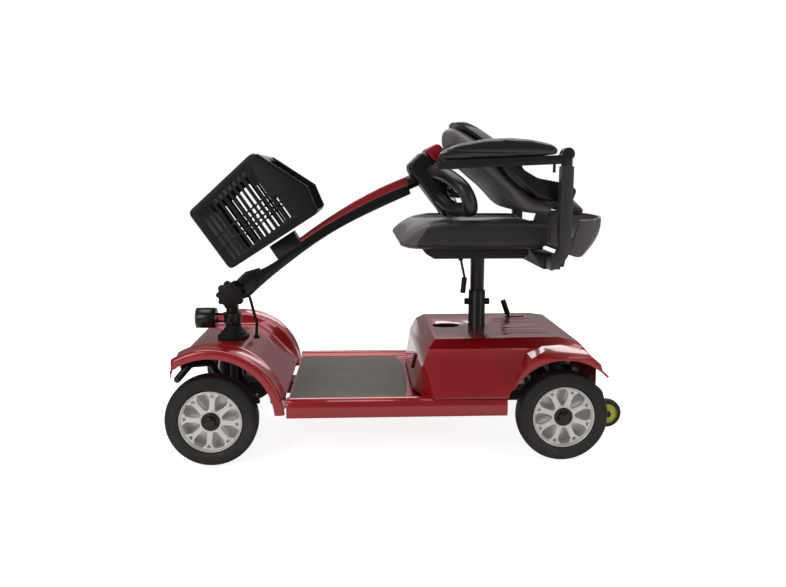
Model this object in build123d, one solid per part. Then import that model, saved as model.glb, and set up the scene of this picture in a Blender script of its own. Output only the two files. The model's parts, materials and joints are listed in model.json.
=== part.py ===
from build123d import *
from math import cos, hypot, pi, radians, sin, sqrt
import os

# Folding mobility scooter, stored pose: tiller laid back over the seat, backrest laid on the tiller head.
# +X is forward, +Y is the rider's left, +Z is up. The origin is on the ground under the middle.

# Clearances
turn_gap = 0.05  # radial, round a pin or shaft
face_gap = 0.3  # between faces that pass each other
seat_gap = 0.1  # between a piece and the part that carries it
beyond = 400.0  # how far a cutting shape runs past the whole scooter's middle

# Wheels and axles
wheel_radius = 100.0
tyre_width = 58.0
rim_radius = 68.0
rim_wall = 6.0
hub_radius = 22.0
axle_radius = 8.0
spoke_count = 8
spoke_width = 14.0
spoke_thickness = 10.0
rim_inset = 5.0
hub_cap = 5.0
half_shaft = 80.0
wheel_face_y = 255.0
wheelbase = 764.0
front_axle_x = 428.0
rear_axle_x = front_axle_x - wheelbase
axle_z = wheel_radius
wheel_y = wheel_face_y - tyre_width / 2

# Chassis
spine_width = 60.0
spine_height = 30.0
frame_split_x = -110.0
beam_half = 155.0
beam_size = 24.0
kingpin_y = 165.0
kingpin_radius = 6.0
sleeve_radius = 12.0
strut_radius = 11.0
strut_y = 120.0

# Steering
post_x = front_axle_x - 12.0
post_radius = 15.0
head_tube_wall = 6.0
steer_arm = 50.0
tie_half = 7.0
tie_pin_radius = 4.0
fold_x = post_x - 4.0
fold_z = axle_z + 243.0
hinge_radius = 22.0
hinge_wall = 8.0
hinge_half = 18.0
hinge_pin = 6.0
boot_rise = 32.0
boot_gap = 0.6
lamp_z = axle_z + 180.0
lamp_radius = 25.0
lamp_back = post_x + 39.0
lamp_front = post_x + 84.0
bumper_radius = 8.0
bumper_bend = 14.0

# Body panels
skin = 3.0
deck_z = axle_z + 27.0
mat_thickness = 3.0
mat_half = 190.0
mat_length = 255.0
mat_bow = 14.0
sill_rise = 14.0
sill_drop = 27.0
pan_half = 240.0
arch_outer = 159.0
lip_height = 22.0
nose_reach = 79.0
saddle_half = 165.0
fender_y = 250.0
rear_arch = 127.0

# Seat column
seat_x = rear_axle_x + 156.0
seat_post_radius = 17.0
receiver_wall = 3.4
receiver_top = axle_z + 244.0
flange_radius = 34.0
flange_z = axle_z + 325.0
flange_thickness = 6.0
pan_z = flange_z + flange_thickness + face_gap

# Seat
seat_half = 205.0
seat_floor_z = flange_z + 37.0
bolster_z = flange_z + 102.0
dish_z = flange_z + 89.0
dish_half = 140.0
recline_x = seat_x - 198.0
recline_z = flange_z + 94.0
bucket_outer = 75.0
bucket_skin = 6.0
back_half = 195.0
back_lean = 43.0
back_pin = 5.0

# Arms
arm_y = 240.0
arm_tube = 25.0
arm_x = seat_x - 145.0
arm_pivot_z = flange_z + 240.0
socket_x = seat_x - 130.0
socket_z = flange_z + 9.5
socket_wall = 3.0
socket_half = 195.0
pad_width = 44.0
arm_pin = 4.0
tongue_half = 5.0

# Tiller head and loops
neck_x = fold_x - 442.0
neck_z = fold_z + 269.0
head_lean = 45.0
head_half = 52.0
loop_radius = 17.0
neck_radius = 16.0
neck_start = (fold_x - 405, 0, fold_z + 253)
neck_end = (fold_x - 448, 0, fold_z + 272)
column_half = 20.0
pod_half = 44.0
loop_bend = 18.0
throttle_u = 62.0
throttle_reach = 90.0
dash_u = 4.0
dash_w = 73.0
button_y = 27.0

# Basket
basket_half = 150.0
basket_wall = 3.0
bracket_half = 22.0
side_slot_rows = 12
side_slot_width = 7.5
side_slot_pitch = 13.9
side_slot_first = 24.0
side_slot_inset = 18.5
side_slot_length = 124.0
side_slot_growth = 1.55
side_slot_runs = ((0.0, 0.5), (0.53, 0.7), (0.73, 1.0))
side_slot_least = 0.05  # share of the length below which a run is dropped
side_slot_skips = {10: 0.28, 11: 0.6}  # share of the last slots that the shoulder cuts off
bracket_gap = 6.0


def profile(points, plane):
    """Closed straight-sided face from 2D points, in the side, cross or plan view."""
    place = {
        "side": lambda a, b: (a, 0, b),
        "cross": lambda a, b: (0, a, b),
        "plan": lambda a, b: (a, b, 0),
    }[plane]
    return make_face(Polyline([place(a, b) for a, b in points], close=True))


def side_plate(points, y_low, y_high, dx=0.0, dz=0.0):
    face = profile([(x + dx, z + dz) for x, z in points], "side")
    return Pos(0, y_low, 0) * extrude(face, amount=y_high - y_low, dir=(0, 1, 0))


def cross_plate(points, x_low, x_high):
    return Pos(x_low, 0, 0) * extrude(profile(points, "cross"), amount=x_high - x_low, dir=(1, 0, 0))


def plan_plate(points, z_low, z_high):
    return Pos(0, 0, z_low) * extrude(profile(points, "plan"), amount=z_high - z_low, dir=(0, 0, 1))


def block(x_low, x_high, y_low, y_high, z_low, z_high):
    size = (x_high - x_low, y_high - y_low, z_high - z_low)
    return Pos(x_low, y_low, z_low) * Box(*size, align=(Align.MIN, Align.MIN, Align.MIN))


def rod(start, end, radius):
    """Round bar from one point to another."""
    start, end = Vector(*start), Vector(*end)
    along = end - start
    return Plane(origin=start, z_dir=along) * Cylinder(
        radius, along.length, align=(Align.CENTER, Align.CENTER, Align.MIN)
    )


def cross_rod(x, z, radius, y_low, y_high):
    return rod((x, y_low, z), (x, y_high, z), radius)


def bent_tube(points, bend, radius):
    """Round bar along straight runs joined by tangent bends."""
    path = FilletPolyline(*points, radius=bend)
    section = Plane(origin=path @ 0, z_dir=path % 0) * Circle(radius)
    return sweep(section, path=path)


def turned(points, x, y, z):
    """Ring about a cross axis from (offset along Y, radius) points."""
    face = make_face(Polyline([(0, along, r) for along, r in points], close=True))
    return Pos(x, y, z) * revolve(face, axis=Axis.Y)


def ring(x, z, inner, outer, y_low, y_high):
    return cross_rod(x, z, outer, y_low, y_high) - cross_rod(x, z, inner, y_low - 1, y_high + 1)


def mirrored(shape):
    return mirror(shape, about=Plane.XZ)


def both_sides(shape):
    return [shape, mirrored(shape)]


def fused(pieces):
    whole = pieces[0]
    for piece in pieces[1:]:
        whole = whole + piece
    return whole


def node(name, *pieces):
    """Write one named sub-part, as one solid or as a group of separate solids."""
    solids = [solid for piece in pieces for solid in piece.solids()]
    export_step(solids[0] if len(solids) == 1 else Compound(children=solids), f"parts/{name}.step")


def pair(left_name, right_name, *pieces):
    node(left_name, *pieces)
    node(right_name, *[mirrored(piece) for piece in pieces])


def unit(start, end):
    """Unit vector from one side-view point to another."""
    length = hypot(end[0] - start[0], end[1] - start[1])
    return ((end[0] - start[0]) / length, (end[1] - start[1]) / length)


def head_point(u, w):
    """Side-view point of the tiller head: u runs towards the rider, w away from the column."""
    a = radians(head_lean)
    return (neck_x - u * cos(a) - w * sin(a), neck_z - u * sin(a) + w * cos(a))


def back_point(s, n):
    """Side-view point of the backrest: s runs up it from the hinge, n points out of its rear face."""
    a = radians(back_lean)
    return (recline_x + s * cos(a) - n * sin(a), recline_z + s * sin(a) + n * cos(a))


# Wheels


def tyre(x):
    w, shoulder = tyre_width / 2, 14.0
    points = [
        (-w, rim_radius),
        (-w, wheel_radius - shoulder),
        (-w + 0.5 * shoulder, wheel_radius - 0.25 * shoulder),
        (-w + 1.3 * shoulder, wheel_radius),
        (w - 1.3 * shoulder, wheel_radius),
        (w - 0.5 * shoulder, wheel_radius - 0.25 * shoulder),
        (w, wheel_radius - shoulder),
        (w, rim_radius),
    ]
    return turned(points, x, wheel_y, axle_z)


def rim(x, driven):
    """Spoked rim with its hub cap; a driven one carries its half shaft."""
    w = tyre_width / 2 - rim_inset
    barrel_outer = rim_radius - seat_gap
    solid = ring(x, axle_z, barrel_outer - rim_wall, barrel_outer, wheel_y - w, wheel_y + w)
    solid += cross_rod(x, axle_z, hub_radius, wheel_y - w, wheel_y + w)
    spoke_length = barrel_outer - rim_wall + 1 - 0.8 * hub_radius
    for index in range(spoke_count):
        bar = Pos(0.8 * hub_radius + spoke_length / 2, 0, 0) * Box(spoke_length, spoke_thickness, spoke_width)
        solid += Pos(x, wheel_y + w - 8, axle_z) * Rot(0, 360 / spoke_count * index, 0) * bar
    if driven:
        solid += cross_rod(x, axle_z, axle_radius, wheel_y - w - half_shaft, wheel_y - w)
    else:
        solid -= cross_rod(x, axle_z, axle_radius + turn_gap, wheel_y - w - 1, wheel_y + w - 3)
    return [solid, cross_rod(x, axle_z, hub_radius, wheel_y + w, wheel_y + w + hub_cap)]


def make_wheels():
    pair("tyre_front_left", "tyre_front_right", tyre(front_axle_x))
    pair("tyre_rear_left", "tyre_rear_right", tyre(rear_axle_x))
    pair("rim_front_left", "rim_front_right", *rim(front_axle_x, False))
    pair("rim_rear_left", "rim_rear_right", *rim(rear_axle_x, True))


# Front chassis and steering

beam_low = axle_z - beam_size / 2
beam_high = axle_z + beam_size / 2
knuckle_low = beam_low - 4.0
knuckle_high = beam_high + 4.0
arm_low = knuckle_low - face_gap - 11.7
arm_high = arm_low + 8.0
saddle_z = axle_z + 131.0
spine_low = deck_z - spine_height
head_tube_top = axle_z + 115.0


def make_front_frame():
    spine = block(frame_split_x, post_x, -spine_width / 2, spine_width / 2, spine_low, deck_z)
    beam = block(front_axle_x - 15, front_axle_x + 15, -beam_half, beam_half, beam_low, beam_high)
    tube = rod((post_x, 0, arm_high + 5), (post_x, 0, head_tube_top), post_radius + head_tube_wall)
    frame = spine + beam + tube
    for side in (-1, 1):
        y = side * kingpin_y
        frame += rod((front_axle_x, y, knuckle_low), (front_axle_x, y, knuckle_high), sleeve_radius)
        frame -= rod((front_axle_x, y, 0), (front_axle_x, y, 2 * axle_z), kingpin_radius + turn_gap)
        y = side * strut_y
        frame += rod((post_x, y, axle_z), (post_x, y, saddle_z - skin), strut_radius)
    frame -= rod((post_x, 0, 0), (post_x, 0, fold_z), post_radius + turn_gap)
    node("front_frame", frame)


def make_knuckles():
    """Stub axle, kingpin and steering arm of one front wheel."""
    x, y = front_axle_x, kingpin_y
    top = rod((x, y, knuckle_high + face_gap), (x, y, knuckle_high + 6), sleeve_radius)
    bottom = rod((x, y, arm_low), (x, y, knuckle_low - face_gap), sleeve_radius)
    pin = rod((x, y, arm_low), (x, y, knuckle_high + 6), kingpin_radius)
    web = block(x - 12, x + 12, y + sleeve_radius + 1.5, y + sleeve_radius + 9, arm_low, knuckle_high + 6)
    ties = block(x - 9, x + 9, y, y + sleeve_radius + 9, arm_low, knuckle_low - face_gap)
    ties += block(x - 9, x + 9, y, y + sleeve_radius + 9, knuckle_high + face_gap, knuckle_high + 6)
    stub = cross_rod(x, axle_z, axle_radius, y + sleeve_radius + 2, wheel_y + tyre_width / 2 - 9)
    arm = block(x - steer_arm, x, y - tie_half, y + tie_half, arm_low, arm_high)
    arm += rod((x - steer_arm, y, arm_low), (x - steer_arm, y, arm_high), tie_half)
    tie_pin = rod((x - steer_arm, y, arm_low - 10), (x - steer_arm, y, arm_low), tie_pin_radius)
    pair("knuckle_left", "knuckle_right", top + bottom + pin + web + ties + stub + arm + tie_pin)


def make_tie_rod():
    x, y = front_axle_x - steer_arm, kingpin_y
    z_low, z_high = arm_low - 8, arm_low - face_gap
    bar = block(x - tie_half, x + tie_half, -y, y, z_low, z_high)
    mid_x = post_x - steer_arm
    bar += rod((mid_x, 0, z_low), (mid_x, 0, z_high), 10)
    for side in (-1, 1):
        bar += rod((x, side * y, z_low), (x, side * y, z_high), tie_half)
        bar -= rod((x, side * y, z_low - 1), (x, side * y, z_high + 1), tie_pin_radius + turn_gap)
    bar -= rod((mid_x, 0, z_low - 1), (mid_x, 0, z_high + 1), tie_pin_radius + turn_gap)
    node("tie_rod", bar)


def make_steering_post():
    column = rod((post_x, 0, arm_low), (post_x, 0, fold_z - 10), post_radius)
    barrel = cross_rod(fold_x, fold_z, hinge_radius, -hinge_half, hinge_half)
    barrel -= cross_rod(fold_x, fold_z, hinge_pin + turn_gap, -hinge_half - 1, hinge_half + 1)
    column -= cross_rod(fold_x, fold_z, hinge_radius - 1, -hinge_half, hinge_half)
    mid_x = post_x - steer_arm
    arm = block(mid_x, post_x, -8, 8, arm_low, arm_high) + rod((mid_x, 0, arm_low), (mid_x, 0, arm_high), 8)
    arm += rod((mid_x, 0, arm_low - 10), (mid_x, 0, arm_low), tie_pin_radius)
    node("steering_post", column + barrel + arm)


def make_boot():
    """Ribbed rubber boot round the post, and the grommet for the wiring behind it."""
    z, rise, inner = saddle_z, boot_rise, post_radius + boot_gap
    points = [(inner, 0), (38, 0), (38, 7), (31, 9), (31, 15), (25, 18), (22, rise - 8), (19, rise - 6)]
    points += [(19, rise), (inner, rise)]
    face = make_face(Polyline([(r, 0, h) for r, h in points], close=True))
    boot = Pos(post_x - 1, 0, z) * revolve(face, axis=Axis.Z)
    boot -= rod((post_x, 0, z - 1), (post_x, 0, z + rise + 1), inner)
    grommet = rod((harness_points[-1][0], harness_points[-1][1], z), harness_points[-1], 2 * harness_radius)
    node("steering_boot", boot, grommet)


harness_radius = 3.5
harness_points = [
    (fold_x - 40, 12, fold_z - 10),
    (fold_x - 45, 12.5, fold_z - 30),
    (fold_x - 50, 13.5, fold_z - 52),
    (fold_x - 57, 14.5, fold_z - 73),
    (fold_x - 54, 12, fold_z - 90),
    (fold_x - 54, 12, fold_z - 105),
]


def harness_bends():
    """Each bend as large as the runs on both sides of it allow."""
    bends = []
    for before, here, after in zip(harness_points, harness_points[1:], harness_points[2:]):
        run_in, run_out = Vector(*here) - Vector(*before), Vector(*after) - Vector(*here)
        half_turn = radians(run_in.get_angle(run_out)) / 2
        bends.append(0.45 * min(run_in.length, run_out.length) / (sin(half_turn) / cos(half_turn)))
    return bends


def make_harness():
    bends = harness_bends()
    print("harness bends", [round(bend) for bend in bends])
    node("wiring_harness", bent_tube(harness_points, bends, harness_radius))


def make_headlamp():
    z, radius = lamp_z, lamp_radius
    clamp = rod((post_x, 0, z - 13), (post_x, 0, z + 13), post_radius + 6)
    for height in (-9, 9):
        clamp += rod((post_x, 0, z + height), (lamp_back, 0, z + height), 3)
    clamp -= rod((post_x, 0, z - 14), (post_x, 0, z + 14), post_radius)
    node("headlamp_bracket", clamp)
    body = rod((lamp_back, 0, z), (lamp_front, 0, z), radius)
    body -= rod((lamp_back + 4, 0, z), (lamp_front + 1, 0, z), radius - 3)
    node("headlamp_body", body)
    lens = rod((lamp_front - 4, 0, z), (lamp_front, 0, z), radius - 3 - seat_gap)
    node("headlamp_lens", lens + rod((lamp_front, 0, z), (lamp_front + 3, 0, z), radius))


def make_bumper():
    x, z = front_axle_x, axle_z
    half = [
        (x + 6, 100, z + beam_size / 2),
        (x + 6, 100, z + 60),
        (x + 22, 116, z + 97),
        (x + 60, 150, z + 103),
        (x + 92, 158, z + 66),
    ]
    path = half + [(px, -py, pz) for px, py, pz in reversed(half)]
    node("front_bumper", bent_tube(path, bumper_bend, bumper_radius))


# Body panels


def make_front_shroud():
    x, z = front_axle_x, axle_z
    nose_x = x + nose_reach
    arch_inner = arch_outer - lip_height
    keep = block(x - arch_outer, nose_x, -beyond, beyond, z + 6, z + beyond)
    fenders = []
    for low, high in ((saddle_half, fender_y), (-fender_y, -saddle_half)):
        outer_lip = (high - skin, high) if high > 0 else (low, low + skin)
        fender = ring(x, z, arch_outer - skin, arch_outer, low, high)
        fender += ring(x, z, arch_inner, arch_outer, *outer_lip)
        fender = fender & keep
        nose_top = z + sqrt(arch_outer**2 - nose_reach**2)
        fender += block(nose_x - skin, nose_x, low, high, nose_top - 30, nose_top - 2)
        fenders.append(fender)
    top = [
        (nose_reach, 103),
        (nose_reach, 124),
        (62, 130),
        (25, 131),
        (-53, 131),
        (-88, 105),
        (-128, 62),
        (-158, 29),
    ]
    foot = deck_z - axle_z + 0.2
    under = [(-154, foot), (-132, 56), (-92, 100), (-55, 128), (25, 128), (61, 127)]
    under += [(nose_reach - skin, 121), (nose_reach - skin, 103)]
    saddle_points = top + [(-158, foot)] + under
    saddle = side_plate(saddle_points, -saddle_half, saddle_half, x, z)
    past = nose_reach + 5
    under_side = [(-170, 6)] + under[1:-1] + [(past, 121), (past, 0), (-170, 0)]
    below = side_plate(under_side, -beyond, beyond, x, z)
    shroud = fused([saddle] + fenders)
    for low in (saddle_half - skin, -saddle_half):
        wall = cross_rod(x, z, arch_outer, low, low + skin) & keep
        shroud += wall - below
    shroud -= rod((post_x, 0, z), (post_x, 0, z + 200), post_radius + 5)
    node("front_shroud", shroud)


def make_floor():
    front = front_axle_x - arch_outer - 0.5
    rear = rear_axle_x + rear_arch - 6
    z, t = deck_z, skin
    top = [(192, z + 3), (200, z + 7), (208, z + sill_rise), (pan_half - 8, z + sill_rise), (pan_half, z - 1)]
    top += [(pan_half - 2, z - sill_drop)]
    low = [(pan_half - 2 - t, z - sill_drop), (pan_half - t, z - 1), (pan_half - 10, z + sill_rise - t)]
    low += [(210, z + sill_rise - t), (201, z + 3), (194, z)]
    outline = top + low + [(-y, h) for y, h in reversed(low)] + [(-y, h) for y, h in reversed(top)]
    pan = cross_plate(outline, rear, front)
    pan -= rod((seat_x, 0, z - 1), (seat_x, 0, z + 10), seat_post_radius + receiver_wall + 3)
    node("floor_pan", pan)
    mat_front = front - 3
    steps = [mat_half * share for share in (-1, -0.5, 0, 0.5, 1)]
    edge = [(mat_front - mat_length - mat_bow * (y / mat_half) ** 2, y) for y in steps]
    mat = [(mat_front, -mat_half), (mat_front, mat_half)] + edge[::-1]
    node("floor_mat", plan_plate(mat, z + skin, z + skin + mat_thickness))


def cover_form(inset):
    """Outer form of the rear cover, or its cavity when inset by the wall."""
    def shrunk(points, view):
        face = profile(points, view)
        return offset(face, amount=-inset, kind=Kind.INTERSECTION) if inset else face

    x, z = rear_axle_x, axle_z
    side = [(324, -80), (324, 42), riser_low, riser_high, (292, 140), (274, 156), (-9, 158), (-50, 150)]
    side += [(-74, 121), (-88, 90), (-88, -80)]
    flare = [(112, -80), (112, 60), (96, 100), (74, 132), (36, 143), (-9, 145), (-54, 138)]
    flare += [(-77, 118), (-87, 90), (-88, 56), (-88, -80)]
    half = [(150, 158), (186, 140), (214, 104), (236, 60), (240, 42), (240, -80)]
    wide = [(150, 158), (200, 150), (249, 132), (fender_y, -80)]
    plan = [(324, 150), (306, 205), (280, 240), (112, fender_y), (-88, fender_y)]

    def slab(points, view, amount, direction, start):
        return Pos(*start) * extrude(shrunk(points, view), amount=amount, dir=direction)

    def both(points):
        return points + [(-y, h) for y, h in reversed(points)]

    side = [(px + x, pz + z) for px, pz in side]
    flare = [(px + x, pz + z) for px, pz in flare]
    half = both([(y, h + z) for y, h in half])
    wide = both([(y, h + z) for y, h in wide])
    plan = [(px + x, y) for px, y in plan] + [(px + x, -y) for px, y in reversed(plan)]
    def across(points):
        return slab(points, "side", 2 * beyond, (0, 1, 0), (0, -beyond, 0))

    def along(points):
        return slab(points, "cross", 4 * beyond, (1, 0, 0), (-2 * beyond, 0, 0))

    whole = (across(side) & along(half)) + (across(flare) & along(wide))
    return whole & slab(plan, "plan", 2 * beyond, (0, 0, 1), (0, 0, -beyond))


riser_low = (319, 52)
riser_high = (308, 103)
slot_length = 100.0
slot_rows = (-70.0, -35.0, 35.0, 70.0, 100.0)
pocket_x = seat_x + 76.0
pocket_length = 66.0
pocket_width = 50.0
pocket_depth = 23.0
cover_top = axle_z + 158.0


def pocket(length, width, z_low, z_high):
    return Pos(pocket_x, 0, z_low) * extrude(SlotOverall(length, width), amount=z_high - z_low)


def make_rear_cover():
    x, z = rear_axle_x, axle_z
    cover = cover_form(0) - cover_form(skin)
    base = deck_z + sill_rise + seat_gap
    cover -= block(-2 * beyond, 2 * beyond, -beyond, beyond, z - beyond, base)
    for side in (-1, 1):
        near, far = sorted((side * 150, side * beyond))
        cover -= cross_rod(x, z, rear_arch, near, far)
    cover -= rod((seat_x, 0, z), (seat_x, 0, z + beyond), seat_post_radius + receiver_wall + 1.5)
    cover -= pocket(pocket_length, pocket_width, z, z + beyond)
    slot_rear = seat_x - 150
    for y in slot_rows:
        cover -= block(slot_rear, slot_rear + slot_length, y - 3, y + 3, cover_top - 10, cover_top + 10)
    cover -= block(lever_x - 24, lever_x + 26, lever_y - 10, lever_y + 10, cover_top - 10, cover_top + 10)
    node("rear_cover", cover)
    rim_z = cover_top - skin - 2.2
    cup = pocket(pocket_length + 12, pocket_width + 12, rim_z - pocket_depth - skin, rim_z)
    cup -= pocket(pocket_length, pocket_width, rim_z - pocket_depth, rim_z + 1)
    (low_x, low_z), (high_x, high_z) = riser_low, riser_high
    slope = (high_x - low_x) / (high_z - low_z)
    strap = [(low_x + slope * (h - low_z) + seat_gap, h) for h in (66, 100)]
    strap += [(px + 5, h) for px, h in reversed(strap)]
    band = side_plate(strap, 48, 66, x, z)
    node("cover_trim", cup, band)


# Rear chassis

rear_spine_rise = 38.0
spine_end_x = rear_axle_x - 64.0
lever_x = seat_x - 115.5
lever_y = -100.0
lever_z = axle_z + 115.0


def make_rear_frame():
    up, down, z = deck_z + rear_spine_rise - 5, spine_low + rear_spine_rise, deck_z
    top = [(frame_split_x, z), (rear_axle_x + 111, z), (rear_axle_x + 86, up), (spine_end_x, up)]
    under = [(spine_end_x, down), (rear_axle_x + 74, down), (rear_axle_x + 98, spine_low)]
    points = top + under + [(frame_split_x, spine_low)]
    frame = side_plate(points, -spine_width / 2, spine_width / 2)
    strut_x = rear_axle_x - 14
    frame += block(strut_x - 12, strut_x + 12, -115, 115, down, up)
    for side in (-1, 1):
        frame += rod((strut_x, side * 100, down), (strut_x, side * 100, cover_top - skin - 3.3), strut_radius)
    plate_y = lever_y + 6 + face_gap
    frame += block(strut_x, lever_x + 10, plate_y, plate_y + 5, lever_z - 10, lever_z + 10)
    frame -= cross_rod(lever_x, lever_z, 4 + turn_gap, plate_y - 1, plate_y + 6)
    node("rear_frame", frame)


def make_transaxle():
    """Gearbox with axle tubes, and the motor on its side."""
    x, z = rear_axle_x, axle_z
    top = spine_low + rear_spine_rise
    shaft_in = wheel_y - tyre_width / 2 + rim_inset - half_shaft
    case = cross_rod(x, z, 32, -26, 26)
    case += cross_rod(x, z, 17, -wheel_y + tyre_width / 2 + 6, wheel_y - tyre_width / 2 - 6)
    case += block(x - 24, x + 24, -26, 26, z, top)
    for side in (-1, 1):
        low, high = sorted((side * (shaft_in - 2), side * wheel_y))
        case -= cross_rod(x, z, axle_radius + turn_gap, low, high)
    motor = rod((x + 33, 0, z - 6), (x + 120, 0, z - 6), 30)
    motor = motor - block(x, x + 200, -50, 50, spine_low - 0.5, 200 + z)
    coupling = rod((x + 20, 0, z - 6), (x + 33, 0, z - 6), 20)
    node("transaxle", case + coupling, motor)


def make_power():
    """Two battery packs on the floor pan, and the controller on the spine."""
    z = deck_z + skin
    gap = 5.0
    packs = [block(seat_x + 28, seat_x + 128, gap, 130, z, z + 95)]
    packs.append(mirrored(packs[0]))
    node("battery_packs", *packs)
    top = deck_z + rear_spine_rise - 5
    node("controller", block(rear_axle_x, rear_axle_x + 80, -45, 45, top, top + 30))


def make_seat_receiver():
    inner, outer = seat_post_radius + turn_gap, seat_post_radius + receiver_wall
    tube = rod((seat_x, 0, deck_z), (seat_x, 0, receiver_top), outer)
    tube += rod((seat_x, 0, deck_z), (seat_x, 0, deck_z + 5), outer + 1.5)
    tube -= rod((seat_x, 0, deck_z + 5), (seat_x, 0, receiver_top + 1), inner)
    knob_z = receiver_top - 28
    tube += rod((seat_x - outer + 1, 0, knob_z), (seat_x - outer - 10, 0, knob_z), 8)
    boss = rod((seat_x + outer - 2, 0, knob_z), (seat_x + outer + 1, 0, knob_z), 8)
    tube += boss - rod((seat_x, 0, receiver_top + 1), (seat_x, 0, deck_z + 5), inner)
    tube -= rod((seat_x, 0, knob_z), (seat_x + outer + 5, 0, knob_z), 4 + turn_gap)
    node("seat_receiver", tube)
    stem = rod((seat_x + inner + 0.4, 0, knob_z), (seat_x + outer + 2, 0, knob_z), 4)
    head = rod((seat_x + outer + 1 + face_gap, 0, knob_z), (seat_x + outer + 10, 0, knob_z), 8)
    node("post_knob", stem + head)


anti_tip_x = rear_axle_x - 157.0
anti_tip_z = axle_z - 52.0
anti_tip_radius = 35.0
anti_tip_y = 64.0
anti_tip_pin = 5.0


def make_anti_tips():
    top = deck_z + rear_spine_rise - 5
    plate = block(spine_end_x - 6, spine_end_x, -60, 60, spine_low + rear_spine_rise, top)
    arm_y_offset = anti_tip_y - 22
    for side in (-1, 1):
        y = side * arm_y_offset
        plate += rod((spine_end_x - 4, y, top - 15), (anti_tip_x, y, anti_tip_z), 8)
        plate += cross_rod(anti_tip_x, anti_tip_z, 10, y - 8, y + 8)
        tip = side * (anti_tip_y + 15)
        low, high = sorted((y, tip))
        plate += cross_rod(anti_tip_x, anti_tip_z, anti_tip_pin, low, high)
        low, high = sorted((side * (anti_tip_y + 12 + face_gap), tip))
        plate += cross_rod(anti_tip_x, anti_tip_z, 8, low, high)
    plate -= block(spine_end_x, spine_end_x + 40, -100, 100, 0, 2 * axle_z)
    node("anti_tip_arms", plate)
    bore, tread = anti_tip_pin + turn_gap, anti_tip_radius
    section = [(-11, bore), (-11, tread - 4), (-6, tread), (6, tread), (12, tread - 4), (12, bore)]
    wheel = turned(section, anti_tip_x, anti_tip_y, anti_tip_z)
    pair("anti_tip_wheel_left", "anti_tip_wheel_right", wheel)


def make_freewheel_lever():
    lean = radians(20)
    top = (lever_x + 92 * sin(lean), lever_y, lever_z + 92 * cos(lean))
    grip = (lever_x + 54 * sin(lean), lever_y, lever_z + 54 * cos(lean))
    lever = rod((lever_x, lever_y, lever_z), top, 4) + rod(grip, top, 7)
    lever += cross_rod(lever_x, lever_z, 8, lever_y - 6, lever_y + 6)
    lever += cross_rod(lever_x, lever_z, 4, lever_y, lever_y + 14)
    node("freewheel_lever", lever)


# Seat


def make_seat_post():
    post = rod((seat_x, 0, deck_z + 25), (seat_x, 0, flange_z), seat_post_radius)
    post += rod((seat_x, 0, flange_z), (seat_x, 0, flange_z + flange_thickness), flange_radius)
    post += rod((seat_x, 0, flange_z), (seat_x, 0, pan_z + 20), 12)
    node("seat_post", post)


def make_seat_pan():
    """Pressed pan with its swivel hub, the square arm socket and the lever lug."""
    floor, top = pan_z + 5, seat_floor_z
    outline = [(150, top), (138, floor + 11), (120, floor), (-80, floor), (-93, floor + 9), (-93, top)]
    pan = side_plate(outline, -140, 140, seat_x, 0)
    pan -= block(seat_x - 85, seat_x + 118, -134, 134, floor + 4, top + 1)
    pan += rod((seat_x, 0, pan_z), (seat_x, 0, top), 45)
    pan -= rod((seat_x, 0, pan_z - 1), (seat_x, 0, pan_z + 21), 12 + turn_gap)
    half, wall = arm_tube / 2 + 0.2, socket_wall
    outer = half + wall
    low, high = socket_z - outer, socket_z + outer
    socket = block(socket_x - outer, socket_x + outer, -socket_half, socket_half, low, high)
    socket -= block(socket_x - half, socket_x + half, -beyond, beyond, socket_z - half, socket_z + half)
    pan += socket
    pan += block(socket_x - outer, seat_x - 86, -60, 60, socket_z + outer - 0.5, socket_z + outer + 6)
    for side in (-1, 1):
        y = side * (socket_half - 20)
        pan -= rod((socket_x - outer - 1, y, socket_z), (socket_x - half, y, socket_z), arm_pin + turn_gap)
    lug_x = seat_x + 42
    pan += block(lug_x - 5, lug_x + 5, 4 + face_gap, 9, pan_z - 14, pan_z + 6)
    pan -= cross_rod(lug_x, pan_z - 7, 3 + turn_gap, 0, 10)
    node("seat_pan", pan)
    lever = rod((lug_x, 0, pan_z - 7), (seat_x + 31, 0, flange_z - 50), 3)
    lever += rod((seat_x + 31, 0, flange_z - 50), (seat_x + 35, 0, flange_z - 88), 6.5)
    lever += cross_rod(lug_x, pan_z - 7, 5, -4, 4) + cross_rod(lug_x, pan_z - 7, 3, 0, 10)
    node("swivel_lever", lever)


def make_seat_cushion():
    floor = seat_floor_z + face_gap
    outline = [(208, floor + 10), (203, floor + 3), (160, floor), (-110, floor), (-138, floor + 8)]
    outline += [(-138, bolster_z - 8), (-134, bolster_z), (110, bolster_z), (161, bolster_z - 6)]
    outline += [(200, floor + 24)]
    cushion = side_plate(outline, -seat_half, seat_half, seat_x, 0)
    cushion -= block(seat_x - 200, seat_x + 165, -dish_half, dish_half, dish_z, bolster_z + 5)
    trim = [(seat_half - 40, floor - 1), (seat_half + 1, floor - 1), (seat_half + 1, floor + 18)]
    for sign in (-1, 1):
        cushion -= cross_plate([(sign * y, h) for y, h in trim], seat_x - 200, seat_x + 300)
    node("seat_cushion", cushion)


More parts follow.
